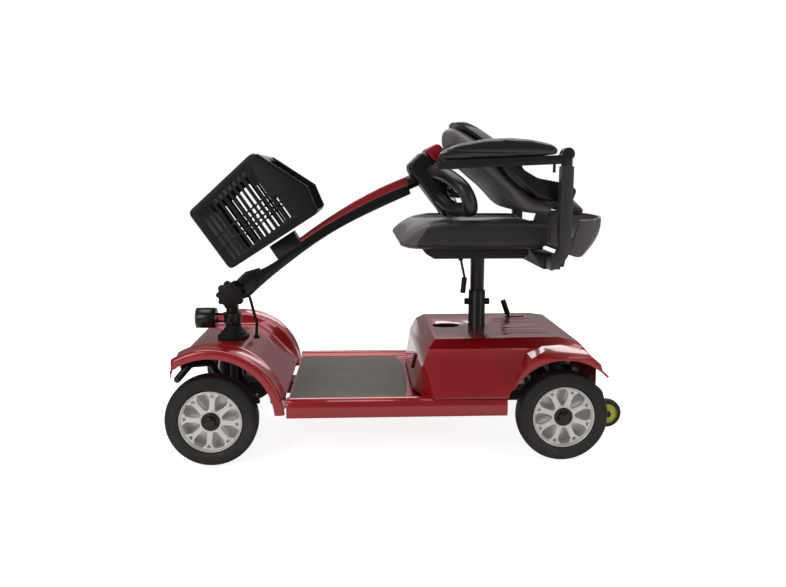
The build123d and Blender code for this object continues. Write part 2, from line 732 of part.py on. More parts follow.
def make_seat_bucket():
    """Rounded rear shell of the seat, with end walls that carry the backrest pins."""
    x, z = recline_x, recline_z
    rear_keep = [(0, 0), (-200, 12), (-200, -200), (110, -200)]
    sector = side_plate(rear_keep, -seat_half, seat_half, x, z)
    shell = ring(x, z, bucket_outer - bucket_skin, bucket_outer, -seat_half, seat_half) & sector
    flange_top = socket_z + arm_tube / 2 + 0.2 + socket_wall + bucket_skin
    back_edge = socket_x - arm_tube / 2 - 0.2 - socket_wall
    flange = block(x + 24, back_edge, -seat_half, seat_half, flange_top - bucket_skin, flange_top)
    flange -= cross_rod(x, z, bucket_outer - bucket_skin, -beyond, beyond)
    bucket = shell + flange
    wall_low = back_half + 4
    end = cross_rod(x, z, bucket_outer, wall_low, seat_half)
    end_keep = [(30, 12), (-200, 12), (-200, -200), (110, -200), (30, -60)]
    end = end & side_plate(end_keep, wall_low, seat_half, x, z)
    end += cross_rod(x, z, back_pin, wall_low - 15, wall_low)
    for wall in both_sides(end):
        bucket += wall
    node("seat_bucket", bucket)


def make_backrest():
    shell = [(-21, 47), (30, 52), (79, 38), (131, 1), (203, -8), (282, 1), (342, 1), (354, -20), (300, -28)]
    shell += [(203, -33), (150, -33), (105, -28), (60, 0), (10, 15), (-21, 30)]
    frame = side_plate([back_point(s, n) for s, n in shell], -back_half, back_half)
    inner = back_half - 14
    for side in (-1, 1):
        low, high = sorted((side * inner, side * (back_half + 4 - face_gap)))
        ear = side_plate([back_point(s, n) for s, n in ((-8, 30), (-11, 0), (11, 0), (30, 20))], low, high)
        ear += cross_rod(recline_x, recline_z, 11, low, high)
        frame += ear
    frame -= cross_rod(recline_x, recline_z, back_pin + turn_gap, -beyond, beyond)
    node("backrest_shell", frame)
    pad = [(354, -20.5), (300, -28.5), (203, -33.5), (150, -33.5), (105, -28.5), (62, -2), (48, -12)]
    pad_points = [back_point(s, n) for s, n in pad]
    wing_z = bolster_z + 6
    pad_points += [(recline_x + 62, wing_z), (recline_x + 118, wing_z), (recline_x + 140, wing_z + 12)]
    pad_points += [back_point(s, n) for s, n in ((163, -69), (312, -70), (344, -60), (361, -42))]
    node("backrest_cushion", side_plate(pad_points, -back_half, back_half))


def make_arms():
    """Square arm tube, its hinged bar, its pad and the socket knob, left then right."""
    y_low, y_high = arm_y - arm_tube / 2, arm_y + arm_tube / 2
    half = arm_tube / 2
    x, top = arm_x, arm_pivot_z - 25
    foot = socket_z
    bend_top = foot + 58
    front, rear = x + half, x - half
    nose = socket_x + half
    outer = Edge.make_three_point_arc((rear, 0, bend_top), (rear + 10, 0, foot + 12), (nose, 0, foot - half))
    inner = Edge.make_three_point_arc((nose, 0, foot + half), (front + 3, 0, foot + 26), (front, 0, bend_top))
    outline = Wire(
        [
            Edge.make_line((rear, 0, top), (rear, 0, bend_top)),
            outer,
            Edge.make_line((nose, 0, foot - half), (nose, 0, foot + half)),
            inner,
            Edge.make_line((front, 0, bend_top), (front, 0, top)),
            Edge.make_line((front, 0, top), (rear, 0, top)),
        ]
    )
    tube = Pos(0, y_low, 0) * extrude(make_face(outline), amount=arm_tube, dir=(0, 1, 0))
    tube += block(socket_x - half, socket_x + half, 40, y_low + 1, foot - half, foot + half)
    tongue_low, tongue_high = arm_y - tongue_half, arm_y + tongue_half
    tongue = block(x - 11, x + 11, tongue_low, tongue_high, top - 1, arm_pivot_z)
    tongue += cross_rod(x, arm_pivot_z, 11, tongue_low, tongue_high)
    tube += tongue - cross_rod(x, arm_pivot_z, arm_pin + turn_gap, y_low, y_high)
    pair("arm_frame_left", "arm_frame_right", tube)

    bar = side_plate([(269, -31.5), (269, -14), (14, -2), (14, -20.5)], y_low, y_high, x, arm_pivot_z)
    for low, high in ((y_low, tongue_low - face_gap), (tongue_high + face_gap, y_high)):
        cheek = cross_rod(x, arm_pivot_z, 13, low, high)
        cheek += side_plate([(0, 12.5), (16, -2), (20, -20), (0, -13)], low, high, x, arm_pivot_z)
        bar += cheek
    bar += cross_rod(x, arm_pivot_z, arm_pin, y_low, y_high)
    bar += rod((x + 26, arm_y, arm_pivot_z - 38), (x + 26, arm_y, arm_pivot_z - 15), 3)
    pair("arm_bar_left", "arm_bar_right", bar)

    pad = [(269, -13.7), (272, -4), (262, 8), (230, 21), (180, 30), (130, 34), (80, 31), (40, 23), (22, 14)]
    pad += [(19, 4), (22, -2)]
    pad_low, pad_high = arm_y - pad_width / 2, arm_y + pad_width / 2
    pair("arm_pad_left", "arm_pad_right", side_plate(pad, pad_low, pad_high, x, arm_pivot_z))

    wall_x = socket_x - arm_tube / 2 - 0.2 - socket_wall
    y = socket_half - 20
    knob = rod((socket_x - arm_tube / 2 - 0.6, y, socket_z), (wall_x - 4, y, socket_z), arm_pin)
    knob += rod((wall_x - 3.5, y, socket_z), (wall_x - 19, y, socket_z), 8)
    for index in range(6):
        turn = 2 * pi * index / 6
        lobe_y, lobe_z = y + 9 * cos(turn), socket_z + 9 * sin(turn)
        knob += rod((wall_x - 7, lobe_y, lobe_z), (wall_x - 17, lobe_y, lobe_z), 5)
    pair("arm_knob_left", "arm_knob_right", knob)


# Tiller


def curve(points):
    return Spline(*[(fold_x + x, 0, fold_z + z) for x, z in points])


def column_end(points_a, points_b):
    a, b = points_a, points_b
    return Edge.make_line((fold_x + a[0], 0, fold_z + a[1]), (fold_x + b[0], 0, fold_z + b[1]))


column_bottom = [(-41, -9), (-59, 8), (-144, 78), (-235, 141), (-340, 196), (-427, 235)]
column_seam = [(-24, 44), (-72, 56), (-150, 109), (-226, 160), (-324, 214), (-421, 255)]
column_top = [(-22, 50), (-68, 64), (-145, 117), (-222, 172), (-320, 231), (-417, 275)]


def mount_line(t, out):
    """Point beside the rear wall of the basket: t along the wall, out towards the column."""
    ux, uz = unit(basket_foot, basket_heel)
    return (fold_x + basket_foot[0] + t * ux + out * uz, fold_z + basket_foot[1] + t * uz - out * ux)


basket_nose = (68.0, 198.0)
basket_rim = (-77.0, 330.0)
basket_shoulder = (-194.0, 253.0)
basket_heel = (-215.0, 197.0)
basket_foot = (-19.0, 72.0)
bracket_at = 116.0
bracket_reach = 34.0


def bracket_block():
    """Foot on the column that carries the basket."""
    # out is negative on the column's side of the basket wall
    points = [
        mount_line(bracket_at - bracket_reach, -bracket_gap),
        mount_line(bracket_at + bracket_reach, -bracket_gap),
        mount_line(bracket_at + bracket_reach, -42),
        mount_line(bracket_at - bracket_reach, -42),
    ]
    return side_plate(points, -bracket_half, bracket_half)


def make_tiller():
    half = column_half
    body_face = make_face(
        Wire([curve(column_bottom), column_end(column_bottom[-1], column_seam[-1]), curve(column_seam[::-1]),
              column_end(column_seam[0], column_bottom[0])])
    )
    trim_face = make_face(
        Wire([curve(column_seam), column_end(column_seam[-1], column_top[-1]), curve(column_top[::-1]),
              column_end(column_top[0], column_seam[0])])
    )
    column = Pos(0, -half, 0) * extrude(body_face, amount=2 * half, dir=(0, 1, 0))
    cheek_in, cheek_out = hinge_half + face_gap, hinge_half + hinge_wall
    cheek_shape = [(0, 20), (-26, 46), (-62, 56), (-56, 12), (-41, -9), (0, -20)]
    for low, high in ((cheek_in, cheek_out), (-cheek_out, -cheek_in)):
        cheek = side_plate(cheek_shape, low, high, fold_x, fold_z)
        cheek += cross_rod(fold_x, fold_z, hinge_radius, low, high)
        column += cheek - cross_rod(fold_x, fold_z, hinge_pin + turn_gap, low - 1, high + 1)
    neck = rod(neck_start, neck_end, neck_radius)
    trim = Pos(0, -half, 0) * extrude(trim_face, amount=2 * half, dir=(0, 1, 0))
    cheeks_box = side_plate(cheek_shape, -cheek_out, cheek_out, fold_x, fold_z)
    foot = bracket_block()
    node("tiller_column", column + neck + foot)
    node("tiller_trim", (trim - foot - cheeks_box - neck).solids().sort_by(SortBy.VOLUME)[-1])
    knob_low = cheek_out + face_gap
    knob = cross_rod(fold_x, fold_z, 28, knob_low, knob_low + 26)
    for index in range(10):
        turn = 2 * pi * index / 10
        knob += cross_rod(fold_x + 27 * cos(turn), fold_z + 27 * sin(turn), 6.5, knob_low + 3, knob_low + 22)
    knob += cross_rod(fold_x, fold_z, hinge_pin, -cheek_out - 8, knob_low + 1)
    knob += cross_rod(fold_x, fold_z, 11, -cheek_out - 8, -cheek_out - face_gap)
    node("fold_knob", knob)


def make_head():
    """Housing, red pod, hand loops and the controls on them."""
    def head_plate(points, half):
        return side_plate([head_point(u, w) for u, w in points], -half, half)

    neck = rod(neck_start, neck_end, neck_radius + seat_gap)
    shell = [(-39, 6), (-24, -3), (15, -5), (66, -12), (108, -16), (108, -11), (84, -4), (86, 20), (62, 31)]
    shell += [(44, 32), (30, 50), (-26, 56), (-39, 50)]
    loops = [(10, 36, 40), (16, 40, 100), (45, 48, 165), (85, 46, 193), (118, 31, 184), (115, 25, 142)]
    loops += [(102, 9, 92), (66, 6, 40)]
    path = [(head_point(u, w)[0], y, head_point(u, w)[1]) for u, w, y in loops]
    loop = bent_tube(path, loop_bend, loop_radius)
    housing = head_plate(shell, head_half)
    loop -= block(neck_x - beyond, neck_x + beyond, -head_half, head_half, 0, neck_z + beyond)
    node("head_shell", housing - neck)
    node("handle_loops", *both_sides(loop))
    pod = [(-38, 56.2), (4, 56.2), (4, 88), (-2, 92), (-22, 92), (-28, 88)]

    def dash_rod(y, start, end, radius):
        low, high = head_point(dash_u + start, dash_w), head_point(dash_u + end, dash_w)
        return rod((low[0], y, low[1]), (high[0], y, high[1]), radius)

    cover = head_plate(pod, pod_half) - head_plate(shell, head_half + 8)
    node("head_cover", cover - dash_rod(-button_y, -12, 1, 3 + turn_gap))
    node("speed_dial", dash_rod(0, face_gap, 10, 12))
    node("horn_button", dash_rod(-button_y, 3 + face_gap, 7, 6) + dash_rod(-button_y, -6, 4, 3))
    bow_x, bow_z = head_point(dash_u + 14, dash_w)
    bow = Pos(bow_x, button_y, bow_z) * Rot(0, head_lean, 0) * Box(16, 3, 14)
    node("ignition_key", dash_rod(button_y, face_gap, 7, 6) + bow)
    hub_low, hub_high = head_point(throttle_u, 32.4), head_point(throttle_u, 40)
    hub = rod((hub_low[0], 0, hub_low[1]), (hub_high[0], 0, hub_high[1]), 14)
    wings = [(throttle_u + 2, 33.5), (throttle_u + 32, 33.5), (throttle_u + 32, 39.5), (throttle_u + 2, 39.5)]
    paddle = side_plate([head_point(u, w) for u, w in wings], -throttle_reach, throttle_reach)
    node("throttle_lever", hub + paddle)


def make_basket():
    corners = [basket_nose, basket_rim, basket_shoulder, basket_heel, basket_foot]
    outer = side_plate(corners, -basket_half, basket_half, fold_x, fold_z)
    form = profile([(fold_x + x, fold_z + z) for x, z in corners], "side")
    inner = offset(form, amount=-basket_wall, kind=Kind.INTERSECTION)
    reach = basket_half - basket_wall
    cavity = Pos(0, -reach, 0) * extrude(inner, amount=2 * reach, dir=(0, 1, 0))
    mouth = [(basket_rim[0] + 1, basket_rim[1] - 4), (basket_shoulder[0] + 5, basket_shoulder[1] - 1)]
    mouth += [(basket_heel[0] + 4, basket_heel[1] + 1), (-500, 300), (-100, 600)]
    basket = outer - cavity - side_plate(mouth, -reach, reach, fold_x, fold_z)
    hook = [
        mount_line(bracket_at - 28, 1),
        mount_line(bracket_at + 28, 1),
        mount_line(bracket_at + 28, -bracket_gap + face_gap),
        mount_line(bracket_at - 28, -bracket_gap + face_gap),
    ]
    basket += side_plate(hook, -bracket_half, bracket_half)
    # Long slots run parallel to the sloping front wall, each in three runs between two cross bars.
    rise = unit(basket_nose, basket_rim)
    run = unit(basket_nose, basket_foot)
    for row in range(side_slot_rows):
        length = side_slot_length + side_slot_growth * row
        skipped = side_slot_skips.get(row, 0.0)
        for start, end in side_slot_runs:
            start = max(start, skipped)
            if end - start < side_slot_least:
                continue
            corners = []
            for along, across in ((start, -1), (end, -1), (end, 1), (start, 1)):
                t = side_slot_inset + along * length
                w = side_slot_first + side_slot_pitch * row + across * side_slot_width / 2
                corners.append(
                    (basket_nose[0] + t * run[0] + w * rise[0], basket_nose[1] + t * run[1] + w * rise[1])
                )
            basket -= side_plate(corners, -basket_half - 1, basket_half + 1, fold_x, fold_z)
    node("basket", basket)


def main():
    os.makedirs("parts", exist_ok=True)
    make_wheels()
    make_front_frame()
    make_knuckles()
    make_tie_rod()
    make_steering_post()
    make_boot()
    make_harness()
    make_headlamp()
    make_bumper()
    make_front_shroud()
    make_floor()
    make_rear_cover()
    make_rear_frame()
    make_transaxle()
    make_power()
    make_seat_receiver()
    make_anti_tips()
    make_freewheel_lever()
    make_seat_post()
    make_seat_pan()
    make_seat_cushion()
    make_seat_bucket()
    make_backrest()
    make_arms()
    make_tiller()
    make_head()
    make_basket()


main()
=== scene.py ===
import bmesh
import bpy
import json
import math
from mathutils import Matrix, Vector


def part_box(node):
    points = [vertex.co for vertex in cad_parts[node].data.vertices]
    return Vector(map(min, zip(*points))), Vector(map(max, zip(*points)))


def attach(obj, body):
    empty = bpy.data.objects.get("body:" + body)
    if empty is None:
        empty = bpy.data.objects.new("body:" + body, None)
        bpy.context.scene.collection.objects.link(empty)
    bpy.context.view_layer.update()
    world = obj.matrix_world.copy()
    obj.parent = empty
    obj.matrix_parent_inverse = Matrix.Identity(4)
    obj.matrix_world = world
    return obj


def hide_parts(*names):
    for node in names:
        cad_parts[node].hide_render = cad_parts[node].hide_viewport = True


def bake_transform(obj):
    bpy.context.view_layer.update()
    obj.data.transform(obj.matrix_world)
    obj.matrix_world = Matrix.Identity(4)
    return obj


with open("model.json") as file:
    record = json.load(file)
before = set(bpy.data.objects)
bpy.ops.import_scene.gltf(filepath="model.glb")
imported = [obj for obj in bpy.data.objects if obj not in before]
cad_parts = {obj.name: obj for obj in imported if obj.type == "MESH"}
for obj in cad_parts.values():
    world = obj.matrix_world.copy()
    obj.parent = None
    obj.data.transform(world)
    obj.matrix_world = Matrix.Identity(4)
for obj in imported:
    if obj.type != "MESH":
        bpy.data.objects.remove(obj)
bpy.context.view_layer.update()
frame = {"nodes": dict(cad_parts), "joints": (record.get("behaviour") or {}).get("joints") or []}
scene = bpy.context.scene
mm = 0.001
print("frame loaded")

joints = {joint["name"]: joint for joint in frame["joints"]}


def nodeBox(node):
    low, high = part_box(node)
    return Vector(low) / mm, Vector(high) / mm


def pivot(joint):
    return Vector(joints[joint]["pos_m"]) / mm


# places that many pieces share, in millimetres
frontAxle = pivot("wheel_front_left_spin")
rearAxle = pivot("wheel_rear_left_spin")
foldPoint = pivot("tiller_fold")
hingePoint = pivot("backrest_fold")
armPivot = pivot("arm_flip_left")
seatTop = nodeBox("seat_cushion")[1].z


# camera and light

cameraSetup = {"place": (0.1053, 1.7887, 0.6214), "aim": (-0.0437, -0.9866, -0.1572), "lens": 34.0}


def makeCamera():
    data = bpy.data.cameras.new("camera")
    data.lens = cameraSetup["lens"]
    data.sensor_width = 36
    camera = bpy.data.objects.new("camera", data)
    camera.location = cameraSetup["place"]
    camera.rotation_euler = Vector(cameraSetup["aim"]).to_track_quat("-Z", "Y").to_euler()
    scene.collection.objects.link(camera)
    scene.camera = camera


lightSetup = {
    # place, aim, size, power
    "overhead": ((0.0, -0.1, 2.2), (0, 0, -1), (2.6, 1.5), 34),
    "window": ((1.5, 2.1, 1.3), (-0.55, -0.76, -0.35), (0.9, 1.5), 14),
    "fill": ((-1.9, 1.5, 0.9), (0.75, -0.62, -0.2), (0.8, 1.4), 6),
    "rim": ((-0.6, -2.4, 1.6), (0.15, 0.86, -0.48), (2.6, 0.7), 16),
}
worldSetup = {"seen": 1.0, "light": 0.2}


def makeLights():
    for name, (place, aim, size, power) in lightSetup.items():
        data = bpy.data.lights.new(name, "AREA")
        data.shape = "RECTANGLE"
        data.size, data.size_y = size
        data.energy = power
        lamp = bpy.data.objects.new(name, data)
        lamp.location = place
        lamp.rotation_euler = Vector(aim).to_track_quat("-Z", "Y").to_euler()
        scene.collection.objects.link(lamp)
    world = bpy.data.worlds.new("studio")
    world.use_nodes = True
    tree = world.node_tree
    background = tree.nodes["Background"]
    background.inputs["Color"].default_value = (1.0, 1.0, 1.0, 1)
    rays = tree.nodes.new("ShaderNodeLightPath")
    level = tree.nodes.new("ShaderNodeMapRange")
    level.inputs["To Min"].default_value = worldSetup["light"]
    level.inputs["To Max"].default_value = worldSetup["seen"]
    tree.links.new(rays.outputs["Is Camera Ray"], level.inputs["Value"])
    tree.links.new(level.outputs[0], background.inputs["Strength"])
    scene.world = world
    scene.view_settings.view_transform = "Standard"


# shader groups


def newGroup(name, inputs, outputs):
    tree = bpy.data.node_groups.new(name, "ShaderNodeTree")
    for label, kind, value in inputs:
        socket = tree.interface.new_socket(label, in_out="INPUT", socket_type=kind)
        socket.default_value = value
    for label, kind in outputs:
        tree.interface.new_socket(label, in_out="OUTPUT", socket_type=kind)
    return tree, tree.nodes.new("NodeGroupInput"), tree.nodes.new("NodeGroupOutput")


def feed(tree, socket, value):
    # joins a socket to another one, or gives it a plain value
    if isinstance(value, bpy.types.NodeSocket):
        tree.links.new(value, socket)
    else:
        socket.default_value = value


def addNode(tree, kind, inputs=None, **settings):
    node = tree.nodes.new(kind)
    for key, value in settings.items():
        setattr(node, key, value)
    for label, value in (inputs or {}).items():
        feed(tree, node.inputs[label], value)
    return node


def addMath(tree, operation, first, second=None, clamp=False):
    inputs = {0: first} if second is None else {0: first, 1: second}
    return addNode(tree, "ShaderNodeMath", inputs, operation=operation, use_clamp=clamp).outputs[0]


def addNoise(tree, vector, scale, detail=3.0):
    return addNode(tree, "ShaderNodeTexNoise", {"Detail": detail, "Vector": vector, "Scale": scale}).outputs["Fac"]


def addMix(tree, factor, first, second):
    first, second = ((*value, 1) if isinstance(value, tuple) else value for value in (first, second))
    return addNode(tree, "ShaderNodeMix", {"Factor": factor, 6: first, 7: second}, data_type="RGBA").outputs[2]


def onObject(tree):
    return addNode(tree, "ShaderNodeTexCoord").outputs["Object"]


colourSocket, numberSocket, vectorSocket = "NodeSocketColor", "NodeSocketFloat", "NodeSocketVector"
middleGrey = (0.5, 0.5, 0.5, 1)


def makeMottle():
    # slow change of colour and gloss, with a fine grain on top
    inputs = [("Base", colourSocket, middleGrey), ("Tint", colourSocket, middleGrey),
              ("Patch Scale", numberSocket, 9.0),
              ("Grain Scale", numberSocket, 700.0), ("Roughness", numberSocket, 0.4), ("Spread", numberSocket, 0.1)]
    outputs = [("Color", colourSocket), ("Roughness", numberSocket), ("Height", numberSocket)]
    tree, given, result = newGroup("mottle", inputs, outputs)
    spot = onObject(tree)
    patch = addNoise(tree, spot, given.outputs["Patch Scale"], 4)
    shift = addMath(tree, "MULTIPLY", addMath(tree, "SUBTRACT", patch, 0.5), given.outputs["Spread"])
    feed(tree, result.inputs["Color"], addMix(tree, patch, given.outputs["Base"], given.outputs["Tint"]))
    feed(tree, result.inputs["Roughness"], addMath(tree, "ADD", given.outputs["Roughness"], shift, True))
    feed(tree, result.inputs["Height"], addNoise(tree, spot, given.outputs["Grain Scale"], 2))
    return tree


def makeDust():
    # pale dust that gathers near the ground and in a broken pattern
    inputs = [("Color", colourSocket, middleGrey), ("Dust", colourSocket, (0.35, 0.32, 0.28, 1)),
              ("Top", numberSocket, 0.2), ("Amount", numberSocket, 0.2)]
    tree, given, result = newGroup("dust", inputs, [("Color", colourSocket), ("Mask", numberSocket)])
    spot = onObject(tree)
    split = addNode(tree, "ShaderNodeSeparateXYZ", {0: spot})
    low = addMath(tree, "SUBTRACT", 1.0, addMath(tree, "DIVIDE", split.outputs["Z"], given.outputs["Top"]), True)
    broken = addMath(tree, "MULTIPLY", addNoise(tree, spot, 60.0, 6), addNoise(tree, spot, 14.0, 2))
    mask = addMath(tree, "MULTIPLY", addMath(tree, "MULTIPLY", low, broken), given.outputs["Amount"])
    mask = addMath(tree, "MULTIPLY", mask, 4.0, True)
    feed(tree, result.inputs["Color"], addMix(tree, mask, given.outputs["Color"], given.outputs["Dust"]))
    feed(tree, result.inputs["Mask"], mask)
    return tree


def makeLeather():
    # cells of the embossed grain, with soft creases under them
    inputs = [("Scale", numberSocket, 420.0), ("Crease", numberSocket, 0.5)]
    tree, given, result = newGroup("leatherGrain", inputs, [("Height", numberSocket), ("Pores", numberSocket)])
    spot = onObject(tree)
    cells = addNode(tree, "ShaderNodeTexVoronoi", feature="DISTANCE_TO_EDGE")
    feed(tree, cells.inputs["Vector"], spot)
    feed(tree, cells.inputs["Scale"], given.outputs["Scale"])
    flat = addMath(tree, "MULTIPLY", cells.outputs["Distance"], 3.0, True)
    crease = addMath(tree, "MULTIPLY", addNoise(tree, spot, 45.0, 5), given.outputs["Crease"])
    feed(tree, result.inputs["Height"], addMath(tree, "ADD", flat, crease))
    feed(tree, result.inputs["Pores"], addMath(tree, "SUBTRACT", 1.0, flat))
    return tree


def makeEdgeWearAndHighlight():
    # light rub marks where two faces meet, and a painted highlight along the same edges
    inputs = [("Radius", numberSocket, 0.002), ("Amount", numberSocket, 0.5)]
    tree, given, result = newGroup("edgeWear", inputs, [("Mask", numberSocket), ("Normal", vectorSocket)])
    soft = addNode(tree, "ShaderNodeBevel", {"Radius": given.outputs["Radius"]}, samples=4).outputs[0]
    face = addNode(tree, "ShaderNodeNewGeometry").outputs["Normal"]
    turn = addNode(tree, "ShaderNodeVectorMath", {0: soft, 1: face}, operation="DOT_PRODUCT").outputs["Value"]
    edge = addMath(tree, "MULTIPLY", addMath(tree, "SUBTRACT", 1.0, turn), 6.0, True)
    wornAndLitEdge = addMath(tree, "MULTIPLY", edge, addNoise(tree, onObject(tree), 90.0, 5))
    feed(tree, result.inputs["Mask"], addMath(tree, "MULTIPLY", wornAndLitEdge, given.outputs["Amount"], True))
    feed(tree, result.inputs["Normal"], soft)
    return tree


groups = {"mottle": makeMottle(), "dust": makeDust(), "leather": makeLeather(), "wearAndHighlight": makeEdgeWearAndHighlight()}


# materials

finishes = {
    # name: base, tint, roughness, spread, grain scale, bump, record slot, and what else the shader takes
    "paintRed": ((0.30, 0.0008, 0.0045), (0.42, 0.0018, 0.008), 0.30, 0.06, 1500, 0.01, "red_gloss",
                 {"Metallic": 0.25, "Coat Weight": 1.0, "Coat Roughness": 0.04, "Specular IOR Level": 0.5}),
    "plasticBlack": ((0.0050, 0.0046, 0.0042), (0.0085, 0.0078, 0.0070), 0.42, 0.12, 900, 0.05, "black_plastic",
                     {"Specular IOR Level": 0.32}),
    "plasticGloss": ((0.006, 0.0058, 0.0055), (0.009, 0.0086, 0.008), 0.24, 0.1, 500, 0.015, "black_plastic",
                     {"Coat Weight": 0.2, "Coat Roughness": 0.12, "Specular IOR Level": 0.32}),
    "steelBlack": ((0.008, 0.0077, 0.0072), (0.012, 0.0115, 0.011), 0.36, 0.1, 1300, 0.06, "black_steel",
                   {"Coat Weight": 0.08, "Coat Roughness": 0.25, "Specular IOR Level": 0.35}),
    "steelGrey": ((0.030, 0.027, 0.025), (0.042, 0.038, 0.035), 0.40, 0.1, 1300, 0.05, "black_steel",
                  {"Coat Weight": 0.2, "Coat Roughness": 0.25}),
    "rubber": ((0.006, 0.0056, 0.005), (0.011, 0.010, 0.009), 0.62, 0.12, 600, 0.08, "black_rubber",
               {"Specular IOR Level": 0.3}),
    "tyreRubber": ((0.0075, 0.007, 0.0064), (0.0125, 0.0115, 0.0105), 0.52, 0.14, 420, 0.12, "tyre_black",
                   {"Specular IOR Level": 0.35}),
    "matRubber": ((0.100, 0.086, 0.072), (0.130, 0.112, 0.095), 0.55, 0.12, 900, 0.12, "mat_rubber", {}),
    "rimSilver": ((0.78, 0.75, 0.72), (0.86, 0.83, 0.80), 0.30, 0.08, 1600, 0.02, "rim_silver",
                  {"Metallic": 0.45, "Coat Weight": 0.4, "Coat Roughness": 0.12}),
    "hubYellow": ((0.62, 0.64, 0.06), (0.70, 0.72, 0.10), 0.40, 0.1, 700, 0.03, "hub_yellow", {}),
    "gripBlack": ((0.0075, 0.0072, 0.007), (0.012, 0.0115, 0.011), 0.34, 0.1, 800, 0.03, "grip_black",
                  {"Coat Weight": 0.2, "Coat Roughness": 0.3}),
    "keySteel": ((0.52, 0.51, 0.50), (0.62, 0.61, 0.60), 0.26, 0.1, 900, 0.02, "key_steel", {"Metallic": 1.0}),
    "hornRed": ((0.42, 0.01, 0.012), (0.5, 0.02, 0.02), 0.35, 0.1, 900, 0.02, "horn_red", {}),
    "padBlack": ((0.0065, 0.0062, 0.006), (0.010, 0.0096, 0.009), 0.30, 0.1, 420, 0.03, "pad_black",
                 {"Coat Weight": 0.3, "Coat Roughness": 0.2}),
    "lampGlass": ((0.75, 0.77, 0.78), (0.85, 0.86, 0.87), 0.08, 0.02, 300, 0.0, "lamp_clear",
                  {"Transmission Weight": 0.9, "IOR": 1.5}),
    "shellGrey": ((0.105, 0.097, 0.092), (0.130, 0.120, 0.114), 0.44, 0.1, 900, 0.06, "vinyl_grey", {}),
}
looks = {}


surface = {
    # how strongly the shared effects show
    # edge rub wear with a painted edge highlight: bevel radius, amount, and the gain and lift that make the edge
    # colour a brighter copy of the tint
    "wearHighlightRadius": 0.0012, "wearHighlightAmount": 0.35, "wearHighlightLift": (1.6, 0.02), "dust": 0.03, "rubberDust": 0.07,
    "reliefDepth": 0.001,
    "flakeScale": 900, "flakePower": 3.0, "flakeShare": 0.35, "flake": (0.62, 0.01, 0.03),
    "clean": ("lampGlass", "paintRed"),
}
vinyl = {
    "patch": 14, "spread": 0.16, "grain": 520, "pore": 0.45, "poreShade": 0.55, "relief": 0.35, "reliefDepth": 0.0006,
    "shader": {"Sheen Weight": 0.06, "Coat Weight": 0.12, "Coat Roughness": 0.35},
}


def newMaterial(name, settings):
    material = bpy.data.materials.new(name)
    material.use_nodes = True
    shader = material.node_tree.nodes["Principled BSDF"]
    for label, level in settings.items():
        shader.inputs[label].default_value = level
    return material, material.node_tree, shader


def feedAll(tree, node, inputs):
    for label, value in inputs.items():
        feed(tree, node.inputs[label], value)
    return node


def addGroup(tree, group, inputs):
    # the group's tree comes first, because its sockets are there only after that
    return feedAll(tree, addNode(tree, "ShaderNodeGroup", node_tree=groups[group]), inputs)


def addMottle(tree, base, tint, roughness, spread, more):
    return addGroup(tree, "mottle", {"Base": (*base, 1), "Tint": (*tint, 1), "Roughness": roughness,
                                     "Spread": spread, **more})


def makeFinish(name):
    base, tint, roughness, spread, grainScale, bump, slot, extra = finishes[name]
    material, tree, shader = newMaterial(name, extra)
    mottle = addMottle(tree, base, tint, roughness, spread, {"Grain Scale": grainScale})
    amount = 0.0 if name == "lampGlass" else surface["wearHighlightAmount"]
    wearAndHighlight = addGroup(tree, "wearAndHighlight", {"Radius": surface["wearHighlightRadius"], "Amount": amount})
    # edges turn a brighter copy of the tint: rub wear and a painted highlight
    gain, lift = surface["wearHighlightLift"]
    wornAndLitEdge = tuple(min(1.0, level * gain + lift) for level in tint)
    colour = addMix(tree, wearAndHighlight.outputs["Mask"], mottle.outputs["Color"], wornAndLitEdge)
    if name not in surface["clean"]:
        amount = surface["rubberDust"] if "ubber" in name else surface["dust"]
        colour = addGroup(tree, "dust", {"Amount": amount, "Color": colour}).outputs["Color"]
    if name == "paintRed":
        flakes = addNode(tree, "ShaderNodeTexVoronoi", {"Scale": surface["flakeScale"], "Vector": onObject(tree)})
        spark = addNode(tree, "ShaderNodeSeparateColor", {0: flakes.outputs["Color"]}).outputs[0]
        lit = addMath(tree, "MULTIPLY", addMath(tree, "POWER", spark, surface["flakePower"]), surface["flakeShare"])
        colour = addMix(tree, lit, colour, surface["flake"])
    relief = addNode(tree, "ShaderNodeBump", {"Strength": bump, "Distance": surface["reliefDepth"],
                                              "Height": mottle.outputs["Height"], "Normal": wearAndHighlight.outputs["Normal"]})
    feedAll(tree, shader, {"Base Color": colour, "Roughness": mottle.outputs["Roughness"],
                           "Normal": relief.outputs[0]})
    looks[name] = (material, slot)


def makeVinyl(name, base, tint, roughness, slot):
    material, tree, shader = newMaterial(name, vinyl["shader"])
    mottle = addMottle(tree, base, tint, roughness, vinyl["spread"], {"Patch Scale": vinyl["patch"]})
    leather = addGroup(tree, "leather", {"Scale": vinyl["grain"]})
    dark = tuple(level * vinyl["poreShade"] for level in base)
    pores = addMath(tree, "MULTIPLY", leather.outputs["Pores"], vinyl["pore"])
    colour = addMix(tree, pores, mottle.outputs["Color"], dark)
    relief = addNode(tree, "ShaderNodeBump", {"Strength": vinyl["relief"], "Distance": vinyl["reliefDepth"],
                                              "Height": leather.outputs["Height"]})
    feedAll(tree, shader, {"Base Color": colour, "Roughness": mottle.outputs["Roughness"],
                           "Normal": relief.outputs[0]})
    looks[name] = (material, slot)


for finishName in finishes:
    makeFinish(finishName)
makeVinyl("vinylBlack", (0.008, 0.0115, 0.011), (0.019, 0.018, 0.017), 0.42, "vinyl_black")
makeVinyl("vinylGrey", (0.105, 0.096, 0.090), (0.135, 0.124, 0.117), 0.42, "vinyl_grey")
print("materials made")


# mesh helpers, all in millimetres until a piece is placed


